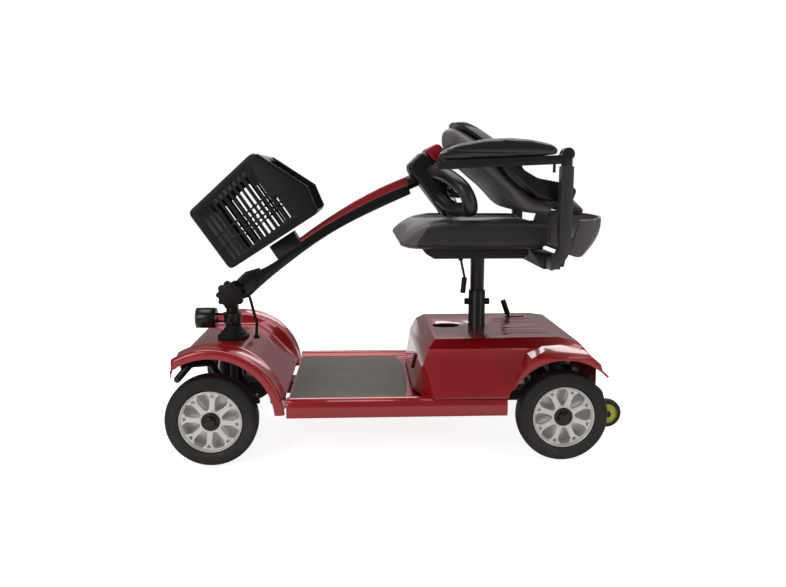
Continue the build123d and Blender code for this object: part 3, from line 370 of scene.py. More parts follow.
def rounded(points, radius, steps=4):
    # the same outline with an arc at each corner
    result = []
    count = len(points)
    for index, corner in enumerate(points):
        here = Vector(corner[:2])
        before = Vector(points[index - 1][:2]) - here
        after = Vector(points[(index + 1) % count][:2]) - here
        reach = min(corner[2] if len(corner) > 2 else radius, before.length * 0.45, after.length * 0.45)
        start, end = here + before.normalized() * reach, here + after.normalized() * reach
        for step in range(steps + 1):
            t = step / steps
            result.append(start * (1 - t) ** 2 + here * 2 * t * (1 - t) + end * t * t)
    return [tuple(point) for point in result]


def newMesh(name, bm, size=mm):
    mesh = bpy.data.meshes.new(name)
    bmesh.ops.scale(bm, vec=(size, size, size), verts=bm.verts)
    bm.to_mesh(mesh)
    bm.free()
    piece = bpy.data.objects.new(name, mesh)
    scene.collection.objects.link(piece)
    return piece


def applyModifiers(piece):
    graph = bpy.context.evaluated_depsgraph_get()
    graph.update()
    mesh = bpy.data.meshes.new_from_object(piece.evaluated_get(graph))
    name = piece.name
    place = piece.matrix_world.copy()
    bpy.data.objects.remove(piece)
    mesh.transform(place)
    made = bpy.data.objects.new(name, mesh)
    scene.collection.objects.link(made)
    return made


def addModifier(piece, kind, **settings):
    modifier = piece.modifiers.new(kind.lower(), kind)
    for key, value in settings.items():
        setattr(modifier, key, value)
    return modifier


def soften(piece, width, segments=2, angle=32):
    addModifier(piece, "BEVEL", width=width * mm, segments=segments, limit_method="ANGLE",
                angle_limit=math.radians(angle), use_clamp_overlap=True)
    return applyModifiers(piece)


def subdivide(piece, levels=1):
    addModifier(piece, "SUBSURF", levels=levels, render_levels=levels)
    return applyModifiers(piece)


replacedNodes = set()


def place(piece, look, body, *nodes, sharp=38):
    # gives a finished mesh its material, its body and the nodes that it stands for
    material, slot = looks[look]
    piece.data.materials.clear()
    piece.data.materials.append(material)
    for polygon in piece.data.polygons:
        polygon.use_smooth = True
        polygon.material_index = 0
    piece.data.set_sharp_from_angle(angle=math.radians(sharp))
    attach(piece, body)
    if nodes:
        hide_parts(*nodes)
        replacedNodes.update(nodes)
    return piece


def loft(bm, rings, closed=True, caps=False):
    made = [[bm.verts.new(point) for point in ring] for ring in rings]
    count = len(made[0])
    for first, second in zip(made, made[1:]):
        for index in range(count if closed else count - 1):
            after = (index + 1) % count
            corners = [first[index], first[after], second[after], second[index]]
            if len(set(corners)) == 4:
                bm.faces.new(corners)
    if caps:
        bm.faces.new(made[0][::-1])
        bm.faces.new(made[-1])
    return made


def cleaned(bm, distance=0.01):
    bmesh.ops.remove_doubles(bm, verts=bm.verts, dist=distance)
    bmesh.ops.dissolve_degenerate(bm, dist=distance, edges=bm.edges)
    bmesh.ops.recalc_face_normals(bm, faces=bm.faces)
    return bm


def merged(piece):
    bm = bmesh.new()
    bm.from_mesh(piece.data)
    cleaned(bm, 1e-6)
    bm.to_mesh(piece.data)
    bm.free()
    return piece


def fromCurve(name, curve, where=Matrix.Identity(4)):
    holder = bpy.data.objects.new(name, curve)
    scene.collection.objects.link(holder)
    holder.matrix_world = where
    bpy.context.view_layer.update()
    made = applyModifiers(holder)
    bpy.data.curves.remove(curve)
    return merged(made)


def facing(profile, side):
    # a profile drawn for the left, on the side asked for
    return [(y * side, radius) for y, radius in profile]


def turned(bm, profile, centre, axis="Y", steps=48, closed=False):
    # profile holds (along the axis, radius) pairs
    rings = []
    for step in range(steps):
        angle = 2 * math.pi * step / steps
        c, s = math.cos(angle), math.sin(angle)
        ring = []
        for along, radius in profile:
            offset = {"Y": (radius * c, along, radius * s), "X": (along, radius * c, radius * s),
                      "Z": (radius * c, radius * s, along)}[axis]
            ring.append([centre[k] + offset[k] for k in range(3)])
        rings.append(ring)
    rings.append(rings[0])
    loft(bm, rings, closed=closed)


def turnedPiece(name, profile, centre, axis="Y", steps=48, closed=False):
    bm = bmesh.new()
    turned(bm, profile, centre, axis, steps, closed)
    return newMesh(name, cleaned(bm))


planes = {
    # turns a flat drawing into the plane that it belongs to
    "side": Matrix(((1, 0, 0, 0), (0, 0, -1, 0), (0, 1, 0, 0), (0, 0, 0, 1))),
    "top": Matrix.Identity(4),
}


def plate(name, outline, holes, plane, low, high, edge=1.0, steps=2):
    # a flat piece with rounded edges and openings, between two heights across its plane
    curve = bpy.data.curves.new(name, "CURVE")
    curve.dimensions = "2D"
    curve.fill_mode = "BOTH"
    for loop in [outline, *holes]:
        spline = curve.splines.new("POLY")
        spline.points.add(len(loop) - 1)
        for point, corner in zip(spline.points, loop):
            point.co = (corner[0] * mm, corner[1] * mm, 0, 1)
        spline.use_cyclic_u = True
    curve.bevel_depth = edge * mm
    curve.bevel_resolution = steps
    curve.offset = -edge * mm
    curve.extrude = ((high - low) / 2 - edge) * mm
    middle = (low + high) / 2 * mm
    if plane == "side":
        middle = -middle
    return fromCurve(name, curve, planes[plane] @ Matrix.Translation((0, 0, middle)))


def tube(name, points, radius, kind="BEZIER", sides=6, steps=10):
    curve = bpy.data.curves.new(name, "CURVE")
    curve.dimensions = "3D"
    curve.bevel_depth = radius * mm
    curve.bevel_resolution = sides
    curve.use_fill_caps = True
    curve.resolution_u = steps
    spline = curve.splines.new(kind)
    if kind == "BEZIER":
        spline.bezier_points.add(len(points) - 1)
        for knot, point in zip(spline.bezier_points, points):
            knot.co = Vector(point) * mm
            knot.handle_left_type = knot.handle_right_type = "AUTO"
    else:
        spline.points.add(len(points) - 1)
        for knot, point in zip(spline.points, points):
            knot.co = (*(Vector(point) * mm), 1)
    return fromCurve(name, curve)


def joined(name, pieces):
    bm = bmesh.new()
    for piece in pieces:
        bm.from_mesh(piece.data)
        bpy.data.objects.remove(piece)
    return newMesh(name, bm, 1)


def copyOf(name, node):
    # a merged copy of a CAD node's triangles, with its flat faces joined up again
    bm = bmesh.new()
    bm.from_mesh(frame["nodes"][node].data)
    bmesh.ops.remove_doubles(bm, verts=bm.verts, dist=2e-6)
    bmesh.ops.dissolve_limit(bm, angle_limit=math.radians(1), verts=bm.verts, edges=bm.edges)
    return newMesh(name, bm, 1)


def softCopy(name, node, look, body, width=1.0, segments=2, angle=35):
    return place(soften(copyOf(name, node), width, segments, angle), look, body, node)


# what repeats


def newTree(name, inputs):
    tree = bpy.data.node_groups.new(name, "GeometryNodeTree")
    tree.is_modifier = True
    for label, kind, value in inputs:
        socket = tree.interface.new_socket(label, in_out="INPUT", socket_type=kind)
        if value is not None:
            socket.default_value = value
    tree.interface.new_socket("Geometry", in_out="OUTPUT", socket_type="NodeSocketGeometry")
    return tree, tree.nodes.new("NodeGroupInput"), tree.nodes.new("NodeGroupOutput")


def runTree(name, tree, look, **settings):
    # runs a tree with its inputs set and returns the plain mesh that comes out
    holder = bpy.data.objects.new(name, bpy.data.meshes.new(name))
    scene.collection.objects.link(holder)
    modifier = holder.modifiers.new("tree", "NODES")
    modifier.node_group = tree
    settings["Material"] = looks[look][0]
    for item in tree.interface.items_tree:
        if item.item_type == "SOCKET" and item.in_out == "INPUT" and item.name in settings:
            modifier[item.identifier] = settings[item.name]
    made = applyModifiers(holder)
    made.name = name
    return made


def endTree(tree, given, result, geometry):
    real = addNode(tree, "GeometryNodeRealizeInstances", {0: geometry}).outputs[0]
    paint = addNode(tree, "GeometryNodeSetMaterial", {"Geometry": real, "Material": given.outputs["Material"]})
    feed(tree, result.inputs[0], paint.outputs[0])
    return tree


def makeAroundTree():
    # copies of one small piece in a ring about an axis
    inputs = [("Geometry", "NodeSocketGeometry", None), ("Piece", "NodeSocketObject", None),
              ("Count", "NodeSocketInt", 8),
              ("Centre", vectorSocket, (0, 0, 0)), ("Axis", vectorSocket, (0, 1, 0)), ("Start", numberSocket, 0.0),
              ("Material", "NodeSocketMaterial", None)]
    tree, given, result = newTree("copiesAround", inputs)
    dots = addNode(tree, "GeometryNodePoints", {"Count": given.outputs["Count"]}).outputs[0]
    source = addNode(tree, "GeometryNodeObjectInfo", {"Object": given.outputs["Piece"]}).outputs["Geometry"]
    turn = addMath(tree, "DIVIDE", addNode(tree, "GeometryNodeInputIndex").outputs[0], given.outputs["Count"])
    turn = addMath(tree, "ADD", addMath(tree, "MULTIPLY", turn, 2 * math.pi), given.outputs["Start"])
    spin = addNode(tree, "FunctionNodeAxisAngleToRotation", {"Axis": given.outputs["Axis"], "Angle": turn}).outputs[0]
    copies = addNode(tree, "GeometryNodeInstanceOnPoints", {"Points": dots, "Instance": source,
                                                            "Rotation": spin}).outputs[0]
    shift = addNode(tree, "GeometryNodeTranslateInstances",
                    {"Local Space": False, "Instances": copies, "Translation": given.outputs["Centre"]})
    return endTree(tree, given, result, shift.outputs[0])


aroundTree = makeAroundTree()


def around(name, piece, look, count, centre, axis=(0, 1, 0), start=0.0):
    made = runTree(name, aroundTree, look, Piece=piece, Count=count, Centre=Vector(centre) * mm,
                   Axis=Vector(axis), Start=start)
    bpy.data.objects.remove(piece)
    return made


makeCamera()
makeLights()
print("camera and lights set")


# the cord that runs from the tiller down to the boot

harness = {"radius": 3.5, "length": 97,
           "route": ((372, 12, 333), (367, 12.5, 313), (362, 13.5, 291), (355, 14.5, 270), (358, 12, 253),
                     (358, 12, 238))}


def makeHarness():
    curve = bpy.data.curves.new("harnessRoute", "CURVE")
    curve.dimensions = "3D"
    curve.resolution_u = 16
    spline = curve.splines.new("NURBS")
    spline.points.add(len(harness["route"]) - 1)
    for knot, point in zip(spline.points, harness["route"]):
        knot.co = (*(Vector(point) * mm), 1)
    spline.order_u = 3
    spline.use_endpoint_u = True
    rail = bpy.data.objects.new("harnessRoute", curve)
    scene.collection.objects.link(rail)
    bpy.context.view_layer.update()
    graph = bpy.context.evaluated_depsgraph_get()
    line = bpy.data.meshes.new_from_object(rail.evaluated_get(graph))
    curve.bevel_depth = harness["radius"] * mm
    curve.bevel_resolution = 5
    curve.use_fill_caps = True
    cord = applyModifiers(rail)
    cord.name = "harnessCord"
    merged(cord)
    material, slot = looks["rubber"]
    cord.data.materials.clear()
    cord.data.materials.append(material)
    for polygon in cord.data.polygons:
        polygon.use_smooth = True
    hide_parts("wiring_harness")
    replacedNodes.add("wiring_harness")
    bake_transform(cord)


makeHarness()
print("cord made")


# wheels

wheel = {
    "tread": 100, "bore": 68.0, "lugs": 92, "lugOffset": 0.034, "lugHalf": (1.9, 1.1), "spokes": 8,
    "spokeWidth": 12.5,
    "rim": 67.6, "face": 18.5, "nuts": 5, "nutCircle": 15.6,
    "turns": {"front_left": 0.10, "front_right": 0.5, "rear_left": 0.31, "rear_right": 0.8},
}


def polar(radius, angle):
    return (radius * math.cos(angle), radius * math.sin(angle))


def spokeOutline(index):
    # the opening between one spoke and the next: narrow by the hub, wide by the rim
    step = 2 * math.pi / wheel["spokes"]
    middle = step * (index + 0.5)
    half = wheel["spokeWidth"] / 2
    points = []
    for radius, extra in ((25.6, 0.4), (40, -0.3), (50, 0), (56, 2.6), (60.2, 7.2)):
        points.append(polar(radius, middle - step / 2 + math.asin((half + extra) / radius)))
    for part in (-0.35, 0, 0.35):
        points.append(polar(61.6, middle + part * step * 0.55))
    for radius, extra in ((60.2, 7.2), (56, 2.6), (50, 0), (40, -0.3), (25.6, 0.4)):
        points.append(polar(radius, middle + step / 2 - math.asin((half + extra) / radius)))
    return points


def makeWheel(corner):
    left = "left" in corner
    body = f"wheel_{corner}"
    low, high = nodeBox(f"tyre_{corner}")
    centre = (low + high) / 2
    side = 1 if left else -1
    turn = wheel["turns"][corner]
    tread, bore = wheel["tread"], wheel["bore"]
    sunk = ((0, 0), (8, 0.05), (15, 0.9), (20, 2.6), (23.5, 5.2), (25.4, 8.6), (26.4, 13), (27.6, 19),
            (27.2, 24), (25, 28),
            (23.6, 30.4), (22.2, 31.2))
    half = [(y, tread - depth) for y, depth in sunk] + [(20.5, bore)]
    profile = facing(half[:0:-1], -1) + half
    profile.append((0, bore - 0.05))
    tyre = turnedPiece(f"tyreBody_{corner}", profile, centre, "Y", 96, closed=True)
    lug = bmesh.new()
    rows = []
    foot, top = wheel["lugHalf"]
    for depth, y, tall in ((12.5, 25.6, 0.0), (11.2, 26.2, 1.5), (5.2, 23.2, 1.9), (2.2, 18.4, 1.3),
                           (0.8, 13.0, 0.0)):
        radius = tread - depth
        crest = [(across, y + tall * 0.75, radius + tall * 0.3) for across in (-top, top)]
        rows.append([(-foot, y - 0.8, radius), *crest, (foot, y - 0.8, radius)])
    loft(lug, rows, closed=False)
    lugs = []
    for face in (1, -1):
        copy = lug.copy()
        if face < 0:
            bmesh.ops.scale(copy, vec=(1, -1, 1), verts=copy.verts)
            bmesh.ops.reverse_faces(copy, faces=copy.faces)
        copy.normal_update()
        normal = sum((f.normal * f.calc_area() for f in copy.faces), Vector())
        if normal.y * face < 0:
            bmesh.ops.reverse_faces(copy, faces=copy.faces)
        lugs.append(around(f"lugs_{corner}_{face}", newMesh("lug", copy), "tyreRubber", wheel["lugs"], centre,
                           start=wheel["lugOffset"] * (face + 1) / 2))
    lug.free()
    made = joined(f"tyreVisual_{corner}", [tyre, *lugs])
    place(made, "tyreRubber", body, f"tyre_{corner}", sharp=30)

    # rim: barrel, spoke disc, lip and hub
    y0, y1 = nodeBox(f"rim_{corner}")[0].y, nodeBox(f"rim_{corner}")[1].y
    outer, face = wheel["rim"], wheel["face"]
    barrel = [(-24, outer), (-24, outer - 3), (-8, outer - 5.5), (face - 4, outer - 4.5), (23.6, outer - 2.4),
              (24.6, outer - 1.2),
              (24.0, outer), (22, outer - 0.1), (0, outer - 0.4)]
    parts = [turnedPiece("barrel", facing(barrel, side), centre, "Y", 96, closed=True)]
    holes = [rounded(spokeOutline(k), 3.5, 3) for k in range(wheel["spokes"])]
    step = 2 * math.pi / wheel["spokes"]
    for k in range(wheel["spokes"]):
        pocket = [polar(51.5, step * k), polar(59.3, step * k + 0.095), polar(59.3, step * k - 0.095)]
        holes.append(rounded(pocket, 2.6, 3))
    outline = [polar(outer - 3.2, 2 * math.pi * k / 96) for k in range(96)]
    disc = plate("disc", outline, holes, "side", -5, 5, 1.6, 2)
    turnBy = Matrix.Rotation(-turn, 4, "Y")
    disc.data.transform(Matrix.Translation(Vector((centre.x, centre.y + side * face - side * 4,
                                                   centre.z)) * mm) @ turnBy)
    parts.append(disc)
    web = [(-12, 14), (-12, outer - 4), (-15, outer - 4), (-15, 14)]
    parts.append(turnedPiece("web", facing(web, side), centre, "Y", 64, closed=True))
    hub = [(face - 12, 24.5), (face - 1, 25.5), (face + 1.2, 24.4), (face + 1.8, 22.5), (face + 1.4, 20.8),
           (face - 12, 20.5)]
    parts.append(turnedPiece("hub", facing(hub, side), centre, "Y", 64, closed=True))
    if "rear" in corner:
        reach = (y0 - centre.y if left else centre.y - y1)
        shaft = [(reach, 0), (reach, 8), (-20, 8), (-20, 15), (face - 8, 15), (face - 8, 0)]
    else:
        shaft = [(-20, 9.6), (-20, 15), (face - 8, 15), (face - 8, 9.6)]
    parts.append(turnedPiece("hubBarrel", facing(shaft, side), centre, "Y", 40, closed="front" in corner))
    rim = joined(f"rimVisual_{corner}", parts)
    place(rim, "rimSilver", body, f"rim_{corner}", sharp=34)

    # black cap with nut bumps round a domed disc
    end = abs((y1 if left else y0) - centre.y)
    cap = [(face - 6, 20.4), (face + 2.2, 20.2), (face + 3.4, 19.0), (face + 3.8, 16.0), (face + 3.2, 13.2),
           (face + 3.6, 12.4),
           (end - 1.6, 11.0), (end - 0.5, 8.6), (end, 4.5), (end, 0)]
    parts = [turnedPiece("capDisc", facing(cap, side), centre, "Y", 56)]
    nut = bmesh.new()
    bump = [(face, 2.9), (face + 5.4, 2.6), (face + 6.2, 1.6), (face + 6.3, 0)]
    turned(nut, facing(bump, side), (wheel["nutCircle"], 0, 0), "Y", 10)
    parts.append(around(f"nuts_{corner}", newMesh("nut", cleaned(nut)), "plasticGloss", wheel["nuts"], centre,
                        start=turn))
    place(joined(f"wheelCap_{corner}", parts), "plasticGloss", body, sharp=40)


for corner in ("front_left", "front_right", "rear_left", "rear_right"):
    makeWheel(corner)
print("wheels made")


# small rear wheels that stop it tipping back

antiTip = {"radius": 35, "tyre": 24.5}


def makeAntiTip(side):
    node = f"anti_tip_wheel_{side}"
    low, high = nodeBox(node)
    centre = pivot(f"anti_tip_{side}_spin")
    out = 1 if side == "left" else -1
    inner, outer = (low.y - centre.y, high.y - centre.y) if out > 0 else (centre.y - high.y, centre.y - low.y)
    radius, bore = antiTip["radius"], antiTip["tyre"]
    ring = [(inner, bore), (inner, radius - 5), (inner + 2.2, radius - 1.6), (inner + 6, radius), (outer - 7, radius),
            (outer - 3.2, radius - 1.6), (outer - 1, radius - 5), (outer - 1, bore)]
    place(turnedPiece(f"antiTipTyre_{side}", facing(ring, out), centre, "Y", 64, closed=True),
          "tyreRubber", f"anti_tip_{side}", node, sharp=30)
    hub = [(inner + 1, 5.2), (inner + 1, 23.4), (inner + 2, bore - 0.1), (outer - 3, bore - 0.1), (outer - 2, 23.0),
           (outer - 4.5, 21), (outer - 5, 12.5), (outer - 1.2, 11), (outer - 0.4, 8.5), (outer - 0.4, 5.2)]
    place(turnedPiece(f"antiTipHub_{side}", facing(hub, out), centre, "Y", 56, closed=True),
          "hubYellow", f"anti_tip_{side}")


makeAntiTip("left")
makeAntiTip("right")


# front shroud: two fenders with a saddle between them

shroud = {
    "crest": 158.6, "lip": 137.2, "halfWidth": 249.6, "wall": 2.6, "dish": 5.5, "postX": 415.5, "postHole": 20.5,
    "saddle": ((79, 103), (79, 124), (62, 130), (25, 131), (-53, 131), (-88, 105), (-128, 62), (-158, 29)),
    "noseReach": 78.4, "noseLow": 12,
}


def saddleRadius(angle):
    # where a ray from the axle meets the saddle's side profile
    ray = Vector((math.cos(angle), math.sin(angle)))
    best = None
    points = shroud["saddle"]
    for first, second in zip(points, points[1:]):
        a, b = Vector(first), Vector(second)
        edge = b - a
        cross = ray.x * edge.y - ray.y * edge.x
        if abs(cross) < 1e-9:
            continue
        distance = (a.x * edge.y - a.y * edge.x) / cross
        share = (a.x * ray.y - a.y * ray.x) / cross
        if -0.02 <= share <= 1.02 and distance > 0 and (best is None or distance < best):
            best = distance
    return best


def smoothStep(low, high, value):
    t = max(0.0, min(1.0, (value - low) / (high - low)))
    return t * t * (3 - 2 * t)


def makeShroud():
    half, crest, lip = shroud["halfWidth"], shroud["crest"], shroud["lip"]
    section = [(half - 1.6, lip), (half - 0.4, lip + 2), (half, lip + 6), (half, lip + 12), (half - 0.6, crest - 6),
               (half - 3, crest - 2), (half - 7.5, crest)]
    section += [(y, None) for y in (236, 228, 220, 212, 204, 196, 190, 185, 181, 178, 174, 170, 166, 162, 158,
                                    154, 148,
                                    140, 120, 90, 60, 36, 28, 20, 10, 0)]
    section = section + [(-y, radius) for y, radius in section[-2::-1]]
    bm = bmesh.new()
    rings = []
    for angle in [math.radians(176 - k * 2.0) for k in range(66)]:
        c, s = math.cos(angle), math.sin(angle)
        low = saddleRadius(angle) or 120
        ring = []
        for y, radius in section:
            if radius is None:
                dip = 0
                if abs(y) > 181:
                    dip = shroud["dish"] * math.sin(math.pi * (half - 7.5 - min(abs(y), half - 7.5)) / 62)
                mix = 1 - smoothStep(154, 181, abs(y))
                radius = (crest - max(0.0, dip)) * (1 - mix) + low * mix
            x, z = min(radius * c, shroud["noseReach"]), radius * s
            ring.append((frontAxle.x + x, y, frontAxle.z + max(z, shroud["noseLow"])))
        rings.append(ring)
    loft(bm, rings, closed=False)
    bmesh.ops.remove_doubles(bm, verts=bm.verts, dist=0.05)
    bmesh.ops.dissolve_degenerate(bm, dist=0.05, edges=bm.edges)
    # the opening that the steering post comes through
    post = Vector((shroud["postX"], 0))
    doomed = []
    for face in bm.faces:
        spot = face.calc_center_median()
        if (spot.xy - post).length < shroud["postHole"] and spot.z > frontAxle.z + 60:
            doomed.append(face)
    bmesh.ops.delete(bm, geom=doomed, context="FACES")
    bmesh.ops.recalc_face_normals(bm, faces=bm.faces)
    up = sum(f.normal.z * f.calc_area() for f in bm.faces)
    if up < 0:
        bmesh.ops.reverse_faces(bm, faces=bm.faces)
    shell = newMesh("frontShroudShell", bm)
    addModifier(shell, "SOLIDIFY", thickness=shroud["wall"] * mm, offset=-1)
    addModifier(shell, "BEVEL", width=0.9 * mm, segments=2, limit_method="ANGLE", angle_limit=math.radians(50))
    place(applyModifiers(shell), "paintRed", "chassis", "front_shroud", sharp=45)


makeShroud()


# floor: a red tray whose edge rolls over, with a rubber mat on it

floorTray = {"rear": -214.5, "front": 267.5, "round": 2.4, "count": 40,
             "edge": ((176, 130), (186, 130), (193, 130.6), (199, 133), (204, 138), (209, 141.4), (220, 142),
                      (230, 141.2), (236, 138),
                      (239, 131), (240, 125), (239.6, 116), (238, 103.5), (236.4, 101.4), (234.5, 103.5),
                      (236, 116), (236.4, 124), (235.4, 130.5),
                      (232.6, 136), (228, 137.8), (212, 137.6), (207, 134), (202, 129), (197, 127.2), (186, 126.8))}


def makeFloorTray():
    half = floorTray["edge"]
    rear, front, edge, count = (floorTray[key] for key in ("rear", "front", "round", "count"))
    ring = list(half) + [(0, 126.8)] + [(-y, z) for y, z in half[::-1]] + [(0, 130)]
    stations = [rear + 0.0, rear + 0.8, rear + edge]
    stations += [rear + edge + (front - rear - 2 * edge) * k / count for k in range(1, count + 1)]
    stations += [front - 0.8, front]
    bm = bmesh.new()
    rings = []
    for x in stations:
        shrink = 0.6 * max(0.0, 1 - min(x - rear, front - x) / edge)
        rings.append([(x, y - math.copysign(shrink, y) if abs(y) > 170 else y, z - (shrink * 0.5 if z > 120 else 0))
                      for y, z in ring])
    loft(bm, rings, closed=True, caps=True)
    place(newMesh("floorTray", cleaned(bm)), "paintRed", "chassis", "floor_pan", sharp=38)


makeFloorTray()
print("shroud and floor made")


# rubber mat with a wavy bare strip along its middle and two dimpled fields

mat = {"front": 262.5, "rear": 6.5, "bow": 14, "half": 189.6, "low": 130.1, "top": 132.6,
       "pitch": (12.0, 10.4), "dimple": 3.1, "border": 15, "stripEnd": 17, "stripMiddle": 44}


def matFront(y):
    # the mat's rear edge bows towards the seat in the middle
    return mat["rear"] + mat["bow"] * (abs(y) / mat["half"]) ** 2 - mat["bow"] * 0.75


def makeMat():
    half, steps = mat["half"], 40
    outline = [(mat["front"], -half), (mat["front"], half)]
    outline += [(matFront(y), y) for y in [half - 2 * half * k / steps for k in range(steps + 1)]]
    base = plate("matBase", outline, [], "top", mat["low"], mat["top"], 0.9, 2)
    dimple = bmesh.new()
    rings = []
    for radius, rise in ((mat["dimple"], -0.3), (mat["dimple"] * 0.86, 0.35), (mat["dimple"] * 0.5, 0.62)):
        rings.append([(radius * math.cos(k * math.pi / 3), radius * math.sin(k * math.pi / 3),
                       rise) for k in range(6)])
    loft(dimple, rings)
    dimple.verts.ensure_lookup_table()
    dimple.faces.new(dimple.verts[12:18])
    bmesh.ops.recalc_face_normals(dimple, faces=dimple.faces)
    piece = newMesh("dimple", dimple)
    field = runTree("matDimples", makeMatTree(), "matRubber", Piece=piece,
                    **{"Pitch X": mat["pitch"][0] * mm, "Pitch Y": mat["pitch"][1] * mm,
                       "Front": (mat["front"] - mat["border"]) * mm,
                       "Rear": (mat["rear"] + mat["border"] + 5) * mm, "Half Width": (half - mat["border"]) * mm,
                       "Height": mat["top"] * mm, "Strip End": mat["stripEnd"] * mm,
                       "Strip Middle": mat["stripMiddle"] * mm})
    bpy.data.objects.remove(piece)
    place(joined("floorMatVisual", [base, field]), "matRubber", "chassis", "floor_mat", sharp=30)


def makeMatTree():
    # a staggered grid of dimples that leaves a strip along the middle free
    sizes = [("Pitch X", 0.012), ("Pitch Y", 0.0104), ("Front", 0.25), ("Rear", 0.02), ("Half Width", 0.17),
             ("Height", 0.13),
             ("Strip End", 0.017), ("Strip Middle", 0.044)]
    inputs = [("Piece", "NodeSocketObject", None)] + [(label, numberSocket, value) for label, value in sizes]
    tree, given, result = newTree("matField", inputs + [("Material", "NodeSocketMaterial", None)])
    size = {label: given.outputs[label] for label, value in sizes}

    def count(span, pitch):
        return addMath(tree, "FLOOR", addMath(tree, "DIVIDE", span, pitch))

    span = addMath(tree, "SUBTRACT", size["Front"], size["Rear"])
    countX = count(span, size["Pitch X"])
    countY = count(addMath(tree, "MULTIPLY", size["Half Width"], 2.0), size["Pitch Y"])
    dots = addNode(tree, "GeometryNodePoints", {"Count": addMath(tree, "MULTIPLY", countX, countY)}).outputs[0]
    number = addNode(tree, "GeometryNodeInputIndex").outputs[0]
    row = count(number, countX)
    column = addMath(tree, "FLOORED_MODULO", number, countX)
    odd = addMath(tree, "MULTIPLY", addMath(tree, "FLOORED_MODULO", row, 2.0), 0.5)
    x = addMath(tree, "ADD", addMath(tree, "MULTIPLY", addMath(tree, "ADD", column, odd), size["Pitch X"]),
                size["Rear"])
    y = addMath(tree, "MULTIPLY", addMath(tree, "ADD", row, 0.5), size["Pitch Y"])
    y = addMath(tree, "SUBTRACT", y, size["Half Width"])
    spot = addNode(tree, "ShaderNodeCombineXYZ", {"X": x, "Y": y, "Z": size["Height"]}).outputs[0]
    share = addMath(tree, "DIVIDE", addMath(tree, "SUBTRACT", x, size["Rear"]), span)
    swell = addMath(tree, "SINE", addMath(tree, "MULTIPLY", share, math.pi))
    swell = addMath(tree, "MULTIPLY", swell, addMath(tree, "SUBTRACT", size["Strip Middle"], size["Strip End"]))
    free = addMath(tree, "LESS_THAN", addMath(tree, "ABSOLUTE", y), addMath(tree, "ADD", swell, size["Strip End"]))
    move = addNode(tree, "GeometryNodeSetPosition", {"Geometry": dots, "Position": spot}).outputs[0]
    kept = addNode(tree, "GeometryNodeDeleteGeometry", {"Geometry": move, "Selection": free},
                   domain="POINT").outputs[0]
    source = addNode(tree, "GeometryNodeObjectInfo", {"Object": given.outputs["Piece"]}).outputs["Geometry"]
    copies = addNode(tree, "GeometryNodeInstanceOnPoints", {"Points": kept, "Instance": source}).outputs[0]
    return endTree(tree, given, result, copies)


makeMat()


# rear cover with its deck, arches and recesses

cover = {"edge": 2.4, "segments": 3, "angle": 24}
softCopy("rearCoverPanel", "rear_cover", "paintRed", "chassis", cover["edge"], cover["segments"], cover["angle"])

# skirt behind each rear wheel's inner side, and an edge strip on each rear arch

skirt = {"reach": -87.5, "from": 148, "to": 190, "top": 92, "bottom": 57, "wall": 2.6,
         "lipRadius": 129.5, "lipThick": 2.6, "lipY": 247, "lipFrom": 47, "lipTo": 137}


def makeArchDetails():
    parts = []
    for out in (1, -1):
        low, high = sorted((skirt["from"] * out, skirt["to"] * out))
        x, z = rearAxle.x + skirt["reach"], rearAxle.z
        inner = x + skirt["wall"]
        panel = [(x, z + skirt["bottom"]), (inner, z + skirt["bottom"]), (inner, z + skirt["top"] + 10),
                 (x, z + skirt["top"])]
        parts.append(plate("skirt", panel, [], "side", low, high, 0.8, 2))
        count = 20
        route = []
        for k in range(count + 1):
            angle = math.radians(skirt["lipFrom"] + (skirt["lipTo"] - skirt["lipFrom"]) * k / count)
            x, z = polar(skirt["lipRadius"], angle)
            route.append((rearAxle.x + x, skirt["lipY"] * out, rearAxle.z + z))
        parts.append(tube("archLip", route, skirt["lipThick"], kind="POLY", sides=5))
    place(joined("rearArchDetails", parts), "paintRed", "chassis", sharp=45)


makeArchDetails()
print("mat and cover made")


# padded pieces

padding = {"voxel": 6.0, "pressure": 4.0, "frames": 20, "calm": 6}


def inflated(piece, cap, voxel=None, calm=None):
    # remesh, blow up under pressure, hold each point within the cap, and smooth
    addModifier(piece, "REMESH", mode="VOXEL", voxel_size=(voxel or padding["voxel"]) * mm)
    addModifier(piece, "SMOOTH", factor=0.5, iterations=calm or padding["calm"])
    piece = applyModifiers(piece)
    start = [vertex.co.copy() for vertex in piece.data.vertices]
    cloth = addModifier(piece, "CLOTH")
    cloth.settings.use_pressure = True
    cloth.settings.uniform_pressure_force = padding["pressure"]
    cloth.settings.effector_weights.gravity = 0
    cloth.point_cache.frame_start = 1
    cloth.point_cache.frame_end = padding["frames"]
    for frameNumber in range(1, padding["frames"] + 1):
        scene.frame_set(frameNumber)
    piece = applyModifiers(piece)
    scene.frame_set(1)
    for vertex, before in zip(piece.data.vertices, start):
        move = vertex.co - before
        if move.length > cap * mm:
            vertex.co = before + move.normalized() * cap * mm
    addModifier(piece, "SMOOTH", factor=0.4, iterations=2)
    piece = applyModifiers(piece)
    return subdivide(piece, 1)


backTilt = math.radians(43)


def backPoint(reach, out):
    c, s = math.cos(backTilt), math.sin(backTilt)
    return (hingePoint.x + reach * c - out * s, hingePoint.z + reach * s + out * c)


seatPad = {
    "centreX": -180, "cap": 4, "half": 200, "edge": 12,
    "outline": ((206, 473.5), (201, 468), (160, 465), (-108, 465), (-134, 472), (-134, 512), (-130, 519),
                (108, 520), (150, 513), (178, 499), (198, 483)),
    "dishHalf": 146, "dishFrom": -8, "dishLow": 513.2, "panelHalf": 152, "spread": 60, "groove": 2.2,
}


def twoTone(piece, look, chosen):
    # gives the faces that the rule picks a second material
    piece.data.materials.append(looks[look][0])
    for polygon in piece.data.polygons:
        if chosen(polygon.center / mm):
            polygon.material_index = 1


